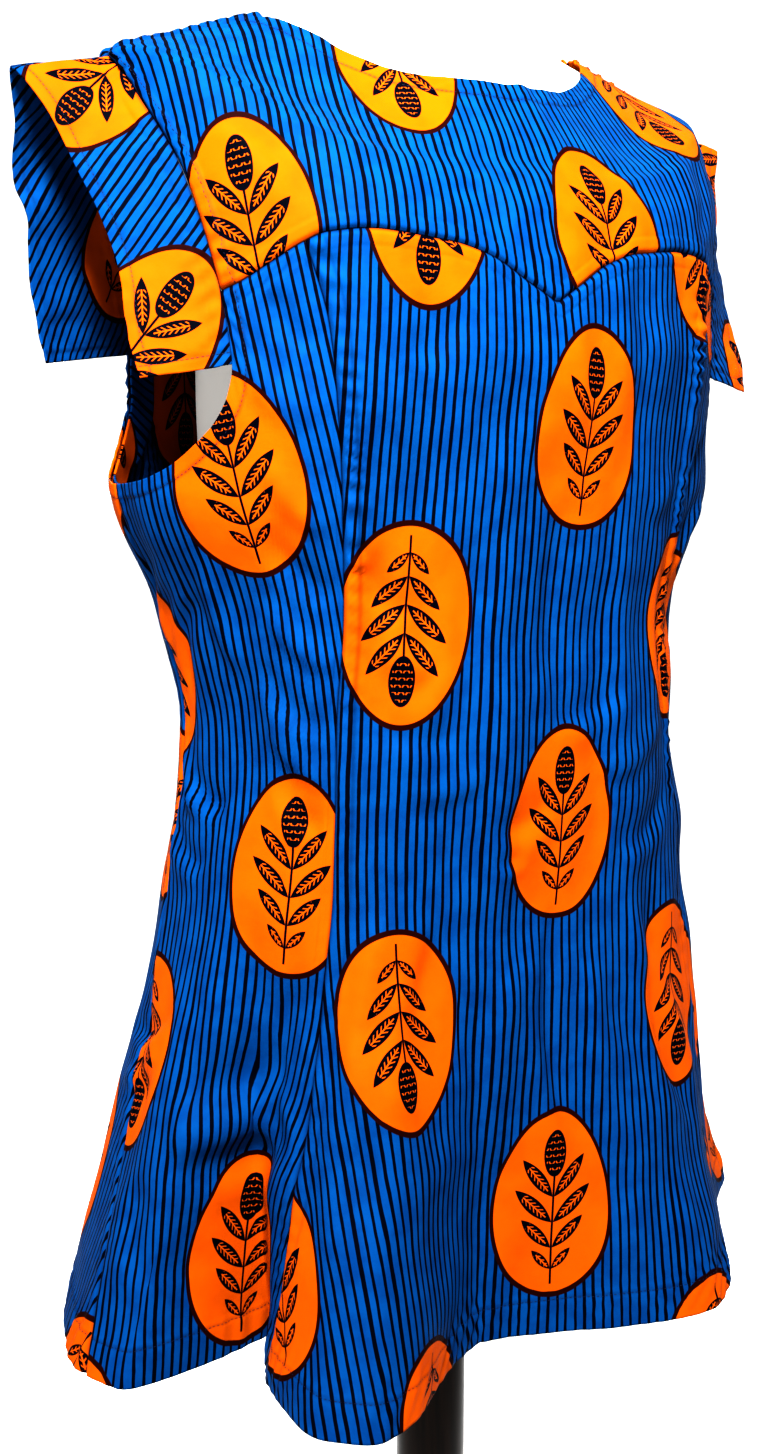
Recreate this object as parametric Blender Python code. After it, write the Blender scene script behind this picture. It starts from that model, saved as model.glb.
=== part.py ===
"""Sleeveless-bodied wax print dress with wide cap sleeves, hanging on a limbless dress form.

Metres, +Z up, the front faces -Y and the stand rests on the floor at z = 0. The cloth is one
surface around the form. A point of it is given by an angle around the form, 0 at the centre
front and positive towards the wearer's left, and by a level, its height above the hem at the
side. Each sewn piece is a patch of that surface between its seams, with the cloth's wall.
"""

import math

import bmesh
import bpy
import numpy as np

# Driving dimensions
HEM_HEIGHT = 0.62
WALL = 0.0015
SEAM_GAP = 0.0003
FOLD_TOP = 0.30
FOLD_POWER = 1.5
BACK_SQUARE = 2.2
FACING_WIDTH = 0.025
FACING_WALL = 0.0012
FACING_GAP = 0.0016
FACING_RADIUS = 0.2
NECK_GAP = 0.0010
SHOULDER_GAP = 0.0040
NECK_STEP = 0.012
PART_GAP = 0.0003
POLE_X = 0.012
POLE_RADIUS = 0.025
BASE_RADIUS = 0.19
BASE_THICKNESS = 0.014
BASE_SIDE = 0.008
BASE_SLOPE = 0.006
BOSS_RADIUS = 0.036
BOSS_TOP = 0.045
BOSS_FOOT = 0.012
BOSS_FOOT_HEIGHT = 0.004
BOSS_RISE = 0.010
BOSS_EDGE = 0.003

# Rows and columns of points in each piece
SEAM_ROWS = 27
CENTRE_COLUMNS = 25
SIDE_COLUMNS = 13
BACK_COLUMNS = 17
YOKE_SIDE_STEPS = 4
SHOULDER_ROWS = 3
SLEEVE_COLUMNS = 5
SLEEVE_FRONT_STEPS = 4
FACING_COLUMNS = 23
FORM_SIDES = 40
FORM_ROWS = 13
FORM_ROWS_TOP = 0.77
FORM_UPPER_ROWS = (0.786, 0.797)
ROUND_SIDES = 64
HEM_STEPS = 400
ANGLE_STEP = 0.05
LEVEL_STEP = 0.0005
SHARP_ANGLE = 40
FLIP = np.array([-1, 1])

# Colours of the cloth and the form
BLUE = (0.0, 0.12, 0.62)
WHITE = (0.82, 0.81, 0.78)
BLACK = (0.02, 0.014, 0.011)

# Rows from hem to neck: side height, front height, back height, half width, front depth,
# back depth, front squareness, how late the height rises towards the side, and set back
RINGS = np.array(
    [
        (0.000, 0.000, 0.000, 0.256, 0.161, 0.182, 2.00, 3.0, 0.000),
        (0.120, 0.120, 0.120, 0.224, 0.155, 0.165, 2.20, 3.0, 0.000),
        (0.220, 0.220, 0.220, 0.198, 0.149, 0.150, 2.32, 3.0, 0.000),
        (0.300, 0.300, 0.300, 0.183, 0.146, 0.129, 2.45, 3.0, 0.000),
        (0.377, 0.377, 0.377, 0.172, 0.147, 0.108, 2.35, 3.0, 0.000),
        (0.460, 0.460, 0.460, 0.185, 0.145, 0.117, 2.05, 3.0, 0.000),
        (0.541, 0.541, 0.541, 0.217, 0.148, 0.131, 2.00, 3.0, 0.000),
        (0.605, 0.600, 0.600, 0.217, 0.152, 0.133, 2.05, 3.0, 0.000),
        (0.670, 0.650, 0.655, 0.214, 0.149, 0.124, 2.25, 3.0, 0.002),
        (0.730, 0.695, 0.705, 0.215, 0.142, 0.110, 2.40, 3.0, 0.006),
        (0.770, 0.723, 0.745, 0.217, 0.132, 0.096, 2.30, 4.0, 0.010),
        (0.793, 0.735, 0.775, 0.216, 0.125, 0.080, 2.20, 6.0, 0.012),
        (0.809, 0.750, 0.794, 0.168, 0.113, 0.071, 2.10, 8.0, 0.008),
        (0.823, 0.785, 0.804, 0.123, 0.086, 0.062, 1.80, 6.5, 0.005),
    ]
)

# Hem outline, one row per ridge, slope or valley of a fold: angle and distance from the axis
HEM = np.array(
    [
        (-180, 0.200),
        (-165, 0.207),
        (-150, 0.245),
        (-135, 0.228),
        (-118, 0.200),
        (-104, 0.250),
        (-90, 0.274),
        (-80, 0.285),
        (-74, 0.280),
        (-70, 0.225),
        (-67, 0.172),
        (-60, 0.208),
        (-52, 0.246),
        (-45, 0.272),
        (-40, 0.273),
        (-35, 0.252),
        (-30, 0.208),
        (-25, 0.176),
        (-19, 0.156),
        (-12, 0.157),
        (0, 0.167),
        (10, 0.183),
        (20, 0.207),
        (29, 0.222),
        (38, 0.221),
        (50, 0.214),
        (66, 0.224),
        (86, 0.270),
        (100, 0.244),
        (118, 0.204),
        (136, 0.214),
        (152, 0.240),
        (167, 0.212),
        (180, 0.200),
    ]
)

# Seams of one half, mirrored for the other: level and angle
FRONT_SEAM = np.array(
    [
        (0.000, 58.5),
        (0.082, 56.2),
        (0.138, 54.3),
        (0.233, 52.3),
        (0.300, 51.0),
        (0.400, 51.0),
        (0.450, 49.9),
        (0.540, 48.8),
        (0.590, 49.2),
        (0.640, 50.2),
        (0.691, 53.5),
    ]
)
SIDE_SEAM = np.array(
    [
        (0.000, 80.0),
        (0.060, 84.0),
        (0.120, 90.0),
        (0.190, 95.0),
        (0.300, 96.0),
        (0.541, 95.0),
    ]
)
BACK_SEAM = np.array(
    [
        (0.000, 128.0),
        (0.200, 131.0),
        (0.377, 134.0),
        (0.470, 132.0),
        (0.540, 126.0),
        (0.598, 115.5),
    ]
)

# Lower edge of the yoke from the centre dip over the bust to the armhole: angle and level
SWEETHEART = np.array(
    [
        (0.0, 0.668),
        (6.8, 0.682),
        (18.0, 0.702),
        (28.0, 0.709),
        (39.0, 0.708),
        (50.0, 0.699),
        (53.5, 0.691),
        (60.0, 0.673),
        (64.5, 0.661),
        (67.6, 0.655),
    ]
)

# Armhole loop from the shoulder tip down the front, under the arm and up the back:
# place in the loop, angle and level
ARMHOLE = np.array(
    [
        (0, 90.0, 0.7930),
        (1, 85.4, 0.7825),
        (2, 80.6, 0.7635),
        (3, 76.8, 0.7460),
        (4, 73.4, 0.7265),
        (5, 70.9, 0.7020),
        (6, 69.2, 0.6810),
        (7, 67.6, 0.6550),
        (8, 66.6, 0.6300),
        (9, 66.2, 0.6120),
        (10, 67.0, 0.5940),
        (11, 69.4, 0.5780),
        (12, 73.5, 0.5640),
        (13, 79.0, 0.5510),
        (14, 86.5, 0.5430),
        (15, 95.0, 0.5410),
        (16, 102.0, 0.5440),
        (17, 108.5, 0.5550),
        (18, 113.0, 0.5740),
        (19, 115.5, 0.5980),
        (20, 115.5, 0.6250),
        (21, 113.5, 0.6520),
        (22, 110.0, 0.6820),
        (23, 105.5, 0.7110),
        (24, 101.0, 0.7380),
        (25, 96.5, 0.7620),
        (26, 92.5, 0.7810),
        (27, 90.0, 0.7930),
    ]
)
YOKE_CORNER = 7
SLEEVE_FRONT = 9
UNDERARM = 15
BACK_CORNER = 19
SLEEVE_BACK = 20
LOOP_END = 27

# Free edge of both halves of a sleeve from its front lower corner over the ridge to the back:
# part of the way, x away from the body, y and height above the hem
SLEEVE_EDGE = np.array(
    [
        (0.00, 0.235, -0.063, 0.602),
        (0.08, 0.238, -0.053, 0.630),
        (0.17, 0.236, -0.042, 0.660),
        (0.27, 0.240, -0.028, 0.692),
        (0.36, 0.249, -0.014, 0.722),
        (0.44, 0.260, -0.001, 0.754),
        (0.50, 0.275, 0.017, 0.781),
        (0.56, 0.267, 0.034, 0.752),
        (0.66, 0.265, 0.044, 0.722),
        (0.75, 0.258, 0.040, 0.695),
        (0.83, 0.258, 0.042, 0.668),
        (0.92, 0.254, 0.040, 0.638),
        (1.00, 0.250, 0.038, 0.614),
    ]
)

# Form rows below the shoulders, same columns as RINGS
FORM_RINGS = [
    (0.150, 0.150, 0.150, 0.146, 0.116, 0.104, 2.30, 3.0, 0.000),
    (0.220, 0.220, 0.220, 0.158, 0.126, 0.116, 2.30, 3.0, 0.000),
    (0.300, 0.300, 0.300, 0.152, 0.126, 0.106, 2.30, 3.0, 0.000),
    (0.377, 0.377, 0.377, 0.140, 0.124, 0.094, 2.20, 3.0, 0.000),
    (0.460, 0.460, 0.460, 0.148, 0.130, 0.104, 2.05, 3.0, 0.000),
    (0.541, 0.541, 0.541, 0.158, 0.140, 0.118, 2.00, 3.0, 0.000),
    (0.605, 0.600, 0.600, 0.160, 0.145, 0.122, 2.05, 3.0, 0.000),
    (0.670, 0.650, 0.655, 0.160, 0.142, 0.117, 2.20, 3.0, 0.002),
    (0.730, 0.695, 0.705, 0.167, 0.136, 0.104, 2.30, 3.0, 0.006),
    (0.770, 0.722, 0.745, 0.176, 0.127, 0.091, 2.30, 4.5, 0.010),
    (0.791, 0.732, 0.771, 0.185, 0.121, 0.079, 2.20, 6.0, 0.011),
]
FORM_SHOULDERS = (0.802, 0.805, 0.809, 0.8135, 0.818, 0.823)
NECK_RINGS = [
    (0.830, 0.801, 0.816, 0.100, 0.070, 0.056, 1.90, 6.0, 0.005),
    (0.843, 0.823, 0.833, 0.080, 0.058, 0.051, 2.00, 4.0, 0.006),
    (0.860, 0.850, 0.855, 0.067, 0.052, 0.049, 2.00, 3.0, 0.007),
    (0.885, 0.882, 0.884, 0.060, 0.050, 0.048, 2.00, 3.0, 0.008),
    (0.925, 0.925, 0.925, 0.057, 0.050, 0.048, 2.00, 3.0, 0.008),
]


def through(rows, column, at):
    """Values of a column at the positions given, on a smooth curve that never overshoots."""
    x = rows[:, 0]
    y = rows[:, column]
    step = np.diff(x)
    rise = np.diff(y) / step
    before, after = rise[:-1], rise[1:]
    same = before * after > 0
    inner = np.zeros_like(before)
    inner[same] = 2 * before[same] * after[same] / (before[same] + after[same])
    slope = np.concatenate([rise[:1], inner, rise[-1:]])
    at = np.clip(np.asarray(at, float), x[0], x[-1])
    k = np.clip(np.searchsorted(x, at, side="right") - 1, 0, len(x) - 2)
    t = (at - x[k]) / step[k]
    start = (2 * t**3 - 3 * t**2 + 1) * y[k] + (t**3 - 2 * t**2 + t) * step[k] * slope[k]
    end = (3 * t**2 - 2 * t**3) * y[k + 1] + (t**3 - t**2) * step[k] * slope[k + 1]
    return start + end


def ring(rows, angle, level):
    """Distance from the axis, set back and height of the body surface, angle in radians."""
    half_width = through(rows, 3, level)
    front = np.cos(angle) >= 0
    depth = np.where(front, through(rows, 4, level), through(rows, 5, level))
    square = np.where(front, through(rows, 6, level), BACK_SQUARE)
    across = np.abs(np.sin(angle))
    along = np.abs(np.cos(angle))
    radius = ((across / half_width) ** square + (along / depth) ** square) ** (-1 / square)
    middle = np.where(front, through(rows, 1, level), through(rows, 2, level))
    late = through(rows, 7, level)
    return radius, through(rows, 8, level), middle + (level - middle) * across**late


def place(angle, radius, back, height):
    """Points in world space from the distance, angle and height above the hem."""
    x = radius * np.sin(angle)
    y = back - radius * np.cos(angle)
    return np.stack([x, y, height + HEM_HEIGHT], axis=-1)


def cloth(degrees, level):
    """Points of the outer face of the cloth, with the skirt's folds."""
    degrees, level = np.broadcast_arrays(np.asarray(degrees, float), np.asarray(level, float))
    angle = np.radians(degrees)
    radius, back, height = ring(RINGS, angle, level)
    plain = ring(RINGS, angle, np.zeros_like(angle))[0]
    turned = (degrees + 180.0) % 360.0 - 180.0
    fold = through(HEM, 1, turned) - plain
    grown = np.clip(1 - level / FOLD_TOP, 0, 1) ** FOLD_POWER
    return place(angle, radius + fold * grown, back, height)


def unit(vectors):
    return vectors / np.linalg.norm(vectors, axis=-1, keepdims=True)


def cloth_normal(degrees, level):
    """Outward normals of the cloth surface."""
    upper = np.minimum(level + LEVEL_STEP, RINGS[-1, 0])
    lower = upper - 2 * LEVEL_STEP
    around = cloth(degrees + ANGLE_STEP, level) - cloth(degrees - ANGLE_STEP, level)
    upward = cloth(degrees, upper) - cloth(degrees, lower)
    return unit(np.cross(around, upward))


def patch(bottom, top, first, last):
    """Grid of (angle, level) pairs inside four edges: rows go up, columns go across."""
    rows, columns = len(first), len(bottom)
    v = np.linspace(0, 1, rows)[:, None, None]
    u = np.linspace(0, 1, columns)[None, :, None]
    across = (1 - u) * first[:, None] + u * last[:, None]
    upward = (1 - v) * bottom[None] + v * top[None]
    corners = (1 - v) * ((1 - u) * bottom[0] + u * bottom[-1]) + v * ((1 - u) * top[0] + u * top[-1])
    return across + upward - corners


def make_object(name, sheet, material):
    """Object from a finished bmesh, its faces turned outwards."""
    bmesh.ops.recalc_face_normals(sheet, faces=sheet.faces)
    mesh = bpy.data.meshes.new(name)
    sheet.to_mesh(mesh)
    sheet.free()
    mesh.materials.append(material)
    mesh.shade_smooth()
    mesh.set_sharp_from_angle(angle=math.radians(SHARP_ANGLE))
    thing = bpy.data.objects.new(name, mesh)
    bpy.context.scene.collection.objects.link(thing)
    return thing


def new_grid(points):
    """Sheet of faces through a grid of points."""
    rows, columns = points.shape[:2]
    sheet = bmesh.new()
    bmesh.ops.create_grid(sheet, x_segments=columns - 1, y_segments=rows - 1, size=1)
    for vertex, point in zip(sheet.verts, points.reshape(-1, 3)):
        vertex.co = point
    return sheet


def make_shell(name, outer, inner, material):
    """Closed sheet of cloth between two grids of points."""
    sheet = new_grid(outer)
    number = sheet.verts.layers.int.new("number")
    for index, vertex in enumerate(sheet.verts):
        vertex[number] = index
    bmesh.ops.triangulate(sheet, faces=sheet.faces, quad_method="FIXED")
    wall = bmesh.ops.extrude_face_region(sheet, geom=list(sheet.faces), use_keep_orig=True)
    points = inner.reshape(-1, 3)
    for item in wall["geom"]:
        if isinstance(item, bmesh.types.BMVert):
            item.co = points[item[number]]
    return make_object(name, sheet, material)


def drawn_in(points, normals, amount):
    """The grid with each of its four edges moved inwards by the amount, along the surface."""
    moved = points.copy()
    every = slice(None)
    for edge, side in (((every, 0), 1), ((every, -1), -1), ((0, every), -1), ((-1, every), 1)):
        along = unit(np.gradient(points[edge], axis=0))
        moved[edge] += side * amount * np.cross(along, normals[edge])
    return moved


def make_panel(name, grid, material, depth=0.0, wall=WALL):
    """Sewn piece on the cloth surface, its edges half a seam gap back from the seams."""
    degrees, level = grid[..., 0], grid[..., 1]
    normals = cloth_normal(degrees, level)
    outer = drawn_in(cloth(degrees, level), normals, SEAM_GAP / 2) - normals * depth
    return make_shell(name, outer, outer - normals * wall, material)


def half_patch(side, columns, bottom, top, first, last):
    """Patch of the left half of the dress, or the same seams on the right half."""
    if side == "left":
        return patch(hem_run(bottom[0], bottom[1], columns), top, first, last)
    turned = (top * FLIP)[::-1]
    return patch(hem_run(-bottom[1], -bottom[0], columns), turned, last * FLIP, first * FLIP)


def seam_rows(seam, top, count):
    """Edge of (angle, level) pairs up a seam from the hem."""
    level = np.linspace(0, top, count)
    return np.stack([through(seam, 1, level), level], axis=-1)


def hem_run(start, end, count):
    """Points along the hem from one angle to another at equal steps of cloth."""
    fine = np.linspace(start, end, HEM_STEPS)
    walk = np.concatenate([[0], np.cumsum(np.linalg.norm(np.diff(cloth(fine, 0.0), axis=0), axis=1))])
    degrees = np.interp(np.linspace(0, walk[-1], count), walk, fine)
    return np.stack([degrees, np.zeros(count)], axis=-1)


def sweetheart_run(start, end, count):
    degrees = np.linspace(start, end, count)
    return np.stack([degrees, through(SWEETHEART, 1, np.abs(degrees))], axis=-1)


def neckline_run(start, end, count):
    return np.stack([np.linspace(start, end, count), np.full(count, RINGS[-1, 0])], axis=-1)


def armhole_run(start, end, count):
    """Points of the armhole between two places in its loop."""
    at = np.linspace(start, end, count)
    return np.stack([through(ARMHOLE, 1, at), through(ARMHOLE, 2, at)], axis=-1)


def shoulder_run(count):
    """Shoulder seam from the tip up to the neck, without its first point."""
    level = np.linspace(ARMHOLE[0, 2], RINGS[-1, 0], count + 1)[1:]
    return np.stack([np.full(count, 90.0), level], axis=-1)


def joined(*runs):
    """Runs laid end to end, the first point of each later one left out as it repeats."""
    return np.concatenate([runs[0]] + [run[1:] for run in runs[1:]])


def make_sleeve(side):
    """Front and back half of the sleeve, sewn together along the ridge over the shoulder."""
    front = joined(
        armhole_run(SLEEVE_FRONT, YOKE_CORNER, SLEEVE_FRONT_STEPS),
        armhole_run(YOKE_CORNER, 0, YOKE_CORNER + 1),
    )
    back = armhole_run(LOOP_END, SLEEVE_BACK, LOOP_END - SLEEVE_BACK + 1)
    line = joined(front, back)
    sewn = cloth(line[:, 0], line[:, 1])
    normals = cloth_normal(line[:, 0], line[:, 1])
    along = unit(np.gradient(sewn, axis=0))
    sewn = sewn + np.cross(along, normals) * SEAM_GAP / 2
    way = np.concatenate(
        [np.linspace(0, 0.5, len(front)), np.linspace(0.5, 1, len(back))[1:]]
    )
    free = np.stack([through(SLEEVE_EDGE, k, way) for k in (1, 2, 3)], axis=-1)
    free[:, 2] += HEM_HEIGHT
    u = np.linspace(0, 1, SLEEVE_COLUMNS)[None, :, None]
    grid = (1 - u) * sewn[:, None] + u * free[:, None]
    lines = np.gradient(grid, axis=0)
    across = np.gradient(grid, axis=1)
    inner = grid - unit(np.cross(across, lines)) * WALL
    inner[:, 0] = sewn - normals * WALL
    ridge = len(front) - 1
    halves = {"front": (slice(0, ridge + 1), -1, -2), "back": (slice(ridge, None), 0, 1)}
    for half, (rows, end, beside) in halves.items():
        layers = [grid[rows].copy(), inner[rows].copy()]
        for layer in layers:
            layer[end] += unit(layer[beside] - layer[end]) * SEAM_GAP / 2
        if side == "right":
            layers = [(layer * [-1, 1, 1])[::-1] for layer in layers]
        name = f"sleeve_{half}_{side}"
        make_shell(name, *layers, make_material("print_" + name, BLUE, 0.55))


def make_facing(side, material):
    """Narrow strip inside the lower armhole, from one end of the sleeve to the other."""
    edge = armhole_run(SLEEVE_FRONT, SLEEVE_BACK, FACING_COLUMNS)
    scale = np.array([math.radians(1) * FACING_RADIUS, 1])
    scaled = edge * scale
    along = unit(np.gradient(scaled, axis=0))
    away = np.stack([along[:, 1], -along[:, 0]], axis=-1) * FACING_WIDTH
    lower = (scaled + away) / scale
    v = np.linspace(0, 1, 3)[:, None, None]
    grid = (1 - v) * lower[None] + v * edge[None]
    if side == "right":
        grid = (grid * FLIP)[:, ::-1]
    return make_panel("armhole_facing_" + side, grid, material, WALL + FACING_GAP, FACING_WALL)


def make_lathe(name, rows, centre_x, material):
    """Closed round piece from rows of radius and height, bottom to top."""
    profile = [(0.0, rows[0][1])] + rows + [(0.0, rows[-1][1])]
    shape = bmesh.new()
    verts = [shape.verts.new((radius, 0, height)) for radius, height in profile]
    edges = [shape.edges.new(pair) for pair in zip(verts, verts[1:])]
    bmesh.ops.spin(
        shape,
        geom=verts + edges,
        axis=(0, 0, 1),
        steps=ROUND_SIDES,
        angle=2 * math.pi,
        use_merge=True,
    )
    bmesh.ops.remove_doubles(shape, verts=shape.verts, dist=0.00001)
    bmesh.ops.translate(shape, verts=shape.verts, vec=(centre_x, 0, 0))
    return make_object(name, shape, material)


def make_form(material):
    """Torso and neck of the form: its shoulders follow the inside of the cloth."""
    shoulders = [[through(RINGS, k, level) for k in range(9)] for level in FORM_SHOULDERS]
    table = np.array(FORM_RINGS + [tuple(float(v) for v in row) for row in shoulders] + NECK_RINGS)
    lower_rows = np.linspace(table[0, 0], FORM_ROWS_TOP, FORM_ROWS)
    level = np.concatenate([lower_rows, FORM_UPPER_ROWS, table[len(FORM_RINGS) :, 0]])
    angle = np.linspace(-np.pi, np.pi, FORM_SIDES + 1)
    level, angle = np.meshgrid(level, angle, indexing="ij")
    radius, back, height = ring(table, angle, level)
    lower = np.clip((RINGS[-1, 0] - level) / NECK_STEP, 0, 1)
    inset = WALL + NECK_GAP + (SHOULDER_GAP - NECK_GAP) * lower
    points = place(angle, radius - inset, back, height - inset)
    shape = new_grid(points)
    bmesh.ops.remove_doubles(shape, verts=shape.verts, dist=0.00001)
    bmesh.ops.holes_fill(shape, edges=shape.edges)
    return make_object("form_torso", shape, material)


def make_material(name, colour, roughness, metallic=0.0):
    material = bpy.data.materials.new(name)
    material.use_nodes = True
    shader = material.node_tree.nodes["Principled BSDF"]
    shader.inputs["Base Color"].default_value = (*colour, 1.0)
    shader.inputs["Roughness"].default_value = roughness
    shader.inputs["Metallic"].default_value = metallic
    return material


# Empty scene
for thing in list(bpy.data.objects):
    bpy.data.objects.remove(thing, do_unlink=True)

# Seams shared by neighbouring pieces, sampled once so that their edges match
front_seam = seam_rows(FRONT_SEAM, FRONT_SEAM[-1, 0], SEAM_ROWS)
yoke_end = through(ARMHOLE, 1, YOKE_CORNER)
yoke_side = sweetheart_run(front_seam[-1, 0], yoke_end, YOKE_SIDE_STEPS + 1)
yoke_middle = sweetheart_run(-front_seam[-1, 0], front_seam[-1, 0], CENTRE_COLUMNS)
long_rows = SEAM_ROWS + YOKE_SIDE_STEPS
side_seam = seam_rows(SIDE_SEAM, SIDE_SEAM[-1, 0], long_rows)
back_seam = seam_rows(BACK_SEAM, BACK_SEAM[-1, 0], long_rows)

# Front centre panel, hem to sweetheart seam
centre = patch(
    hem_run(-front_seam[0, 0], front_seam[0, 0], CENTRE_COLUMNS),
    yoke_middle,
    front_seam * FLIP,
    front_seam,
)
make_panel("front_centre", centre, make_material("print_front_centre", BLUE, 0.55))

# Side panels, front and back, hem to armhole
front_top = armhole_run(YOKE_CORNER, UNDERARM, SIDE_COLUMNS)
back_top = armhole_run(UNDERARM, BACK_CORNER, SIDE_COLUMNS)
for side in ("right", "left"):
    front = half_patch(
        side,
        SIDE_COLUMNS,
        (front_seam[0, 0], side_seam[0, 0]),
        front_top,
        joined(front_seam, yoke_side),
        side_seam,
    )
    make_panel("front_side_" + side, front, make_material("print_front_side_" + side, BLUE, 0.55))
    back = half_patch(
        side, SIDE_COLUMNS, (side_seam[0, 0], back_seam[0, 0]), back_top, side_seam, back_seam
    )
    make_panel("back_side_" + side, back, make_material("print_back_side_" + side, BLUE, 0.55))

# Yoke from the sweetheart seam to the neckline and the shoulder seams
yoke_edge = joined(armhole_run(YOKE_CORNER, 0, YOKE_CORNER + 1), shoulder_run(SHOULDER_ROWS))
yoke_bottom = joined((yoke_side * FLIP)[::-1], yoke_middle, yoke_side)
yoke_top = neckline_run(-90.0, 90.0, len(yoke_bottom))
yoke = patch(yoke_bottom, yoke_top, yoke_edge * FLIP, yoke_edge)
make_panel("front_yoke", yoke, make_material("print_yoke", BLUE, 0.55))

# Back centre panel from the hem to the neckline
back_arm = armhole_run(BACK_CORNER, LOOP_END, LOOP_END - BACK_CORNER + 1)
back_edge = joined(back_seam, back_arm, shoulder_run(SHOULDER_ROWS))
back = patch(
    hem_run(back_edge[0, 0], 360 - back_edge[0, 0], BACK_COLUMNS),
    neckline_run(90.0, 270.0, BACK_COLUMNS),
    back_edge,
    back_edge * FLIP + [360, 0],
)
make_panel("back_centre", back, make_material("print_back_centre", BLUE, 0.55))

# Sleeves and the facings of the lower armholes
for side in ("right", "left"):
    make_sleeve(side)
    make_facing(side, make_material("print_facing_" + side, BLUE, 0.6))

# Form and its stand
make_form(make_material("form_cover", WHITE, 0.6))
torso_bottom = HEM_HEIGHT + FORM_RINGS[0][0] - WALL - SHOULDER_GAP - PART_GAP
pole_rows = [(POLE_RADIUS, BOSS_TOP + PART_GAP), (POLE_RADIUS, torso_bottom)]
make_lathe("stand_pole", pole_rows, POLE_X, make_material("pole_gloss", BLACK, 0.2))
base_rows = [
    (BASE_RADIUS, 0.0),
    (BASE_RADIUS, BASE_SIDE),
    (BASE_RADIUS - BASE_SLOPE, BASE_THICKNESS),
    (BOSS_RADIUS + BOSS_FOOT, BASE_THICKNESS + BOSS_FOOT_HEIGHT),
    (BOSS_RADIUS, BASE_THICKNESS + BOSS_RISE),
    (BOSS_RADIUS, BOSS_TOP - BOSS_EDGE),
    (BOSS_RADIUS - BOSS_EDGE, BOSS_TOP),
]
make_lathe("stand_base", base_rows, POLE_X, make_material("base_gloss", BLACK, 0.25))
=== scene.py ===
import functools
import math

import bmesh
import bpy
import numpy as np
from mathutils import Matrix, Vector


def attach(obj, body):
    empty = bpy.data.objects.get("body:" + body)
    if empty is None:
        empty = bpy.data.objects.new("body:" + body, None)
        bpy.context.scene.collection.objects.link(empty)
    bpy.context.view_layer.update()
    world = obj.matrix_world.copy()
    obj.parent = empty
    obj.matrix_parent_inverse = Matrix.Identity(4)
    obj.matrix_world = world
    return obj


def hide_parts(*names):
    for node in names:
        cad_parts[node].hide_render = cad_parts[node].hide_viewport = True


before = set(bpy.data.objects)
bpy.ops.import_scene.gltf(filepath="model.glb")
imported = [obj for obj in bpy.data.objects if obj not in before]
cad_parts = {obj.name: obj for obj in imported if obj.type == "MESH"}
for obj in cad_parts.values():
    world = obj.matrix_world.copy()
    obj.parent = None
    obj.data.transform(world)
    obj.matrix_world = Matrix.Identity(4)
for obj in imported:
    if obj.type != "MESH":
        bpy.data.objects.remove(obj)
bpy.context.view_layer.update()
print("frame loaded:", len(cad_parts), "solids")

# Shape of the dress, in metres. The cloth is one surface round the form: an angle, 0 at the
# centre front and positive to the wearer's left, and a level, the height above the hem.
dress = {
    "hemHeight": 0.62,
    "wall": 0.0012,
    "seamGap": -0.0001,  # below zero, so that no light shows through a seam
    "foldTop": 0.30,
    "foldPower": 1.5,
    "backSquareness": 2.2,
}
mm = 0.001
tooClose = 0.00001  # points nearer than this become one

# side height, front height, back height, half width, front depth, back depth,
# front squareness, how late the height rises to the side, set back
ringRows = np.array([
    (0.0, 0.0, 0.0, 0.256, 0.161, 0.182, 2.0, 3.0, 0.0),
    (0.12, 0.12, 0.12, 0.224, 0.155, 0.165, 2.2, 3.0, 0.0),
    (0.22, 0.22, 0.22, 0.198, 0.149, 0.15, 2.32, 3.0, 0.0),
    (0.3, 0.3, 0.3, 0.183, 0.146, 0.129, 2.45, 3.0, 0.0),
    (0.377, 0.377, 0.377, 0.172, 0.147, 0.108, 2.35, 3.0, 0.0),
    (0.46, 0.46, 0.46, 0.185, 0.145, 0.117, 2.05, 3.0, 0.0),
    (0.541, 0.541, 0.541, 0.217, 0.148, 0.131, 2.0, 3.0, 0.0),
    (0.605, 0.6, 0.6, 0.217, 0.152, 0.133, 2.05, 3.0, 0.0),
    (0.67, 0.65, 0.655, 0.214, 0.149, 0.124, 2.25, 3.0, 0.002),
    (0.73, 0.695, 0.705, 0.215, 0.142, 0.11, 2.4, 3.0, 0.006),
    (0.77, 0.723, 0.745, 0.217, 0.132, 0.096, 2.3, 4.0, 0.01),
    (0.793, 0.735, 0.775, 0.216, 0.125, 0.08, 2.2, 6.0, 0.012),
    (0.809, 0.75, 0.794, 0.168, 0.113, 0.071, 2.1, 8.0, 0.008),
    (0.823, 0.785, 0.804, 0.123, 0.086, 0.062, 1.8, 6.5, 0.005),
])

# Folds of the hem, one row per ridge, slope or valley: angle, distance from the axis
hemRows = np.array([
    (-180, 0.2), (-165, 0.207), (-150, 0.245), (-135, 0.228), (-118, 0.2), (-104, 0.25),
    (-90, 0.274), (-80, 0.285), (-74, 0.28), (-70, 0.225), (-67, 0.172), (-60, 0.208),
    (-52, 0.246), (-45, 0.272), (-40, 0.273), (-35, 0.252), (-30, 0.208), (-25, 0.176),
    (-19, 0.156), (-12, 0.157), (0, 0.167), (10, 0.183), (20, 0.207), (29, 0.222),
    (38, 0.221), (50, 0.214), (66, 0.224), (86, 0.27), (100, 0.244), (118, 0.204),
    (136, 0.214), (152, 0.24), (167, 0.212), (180, 0.2),
])

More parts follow.
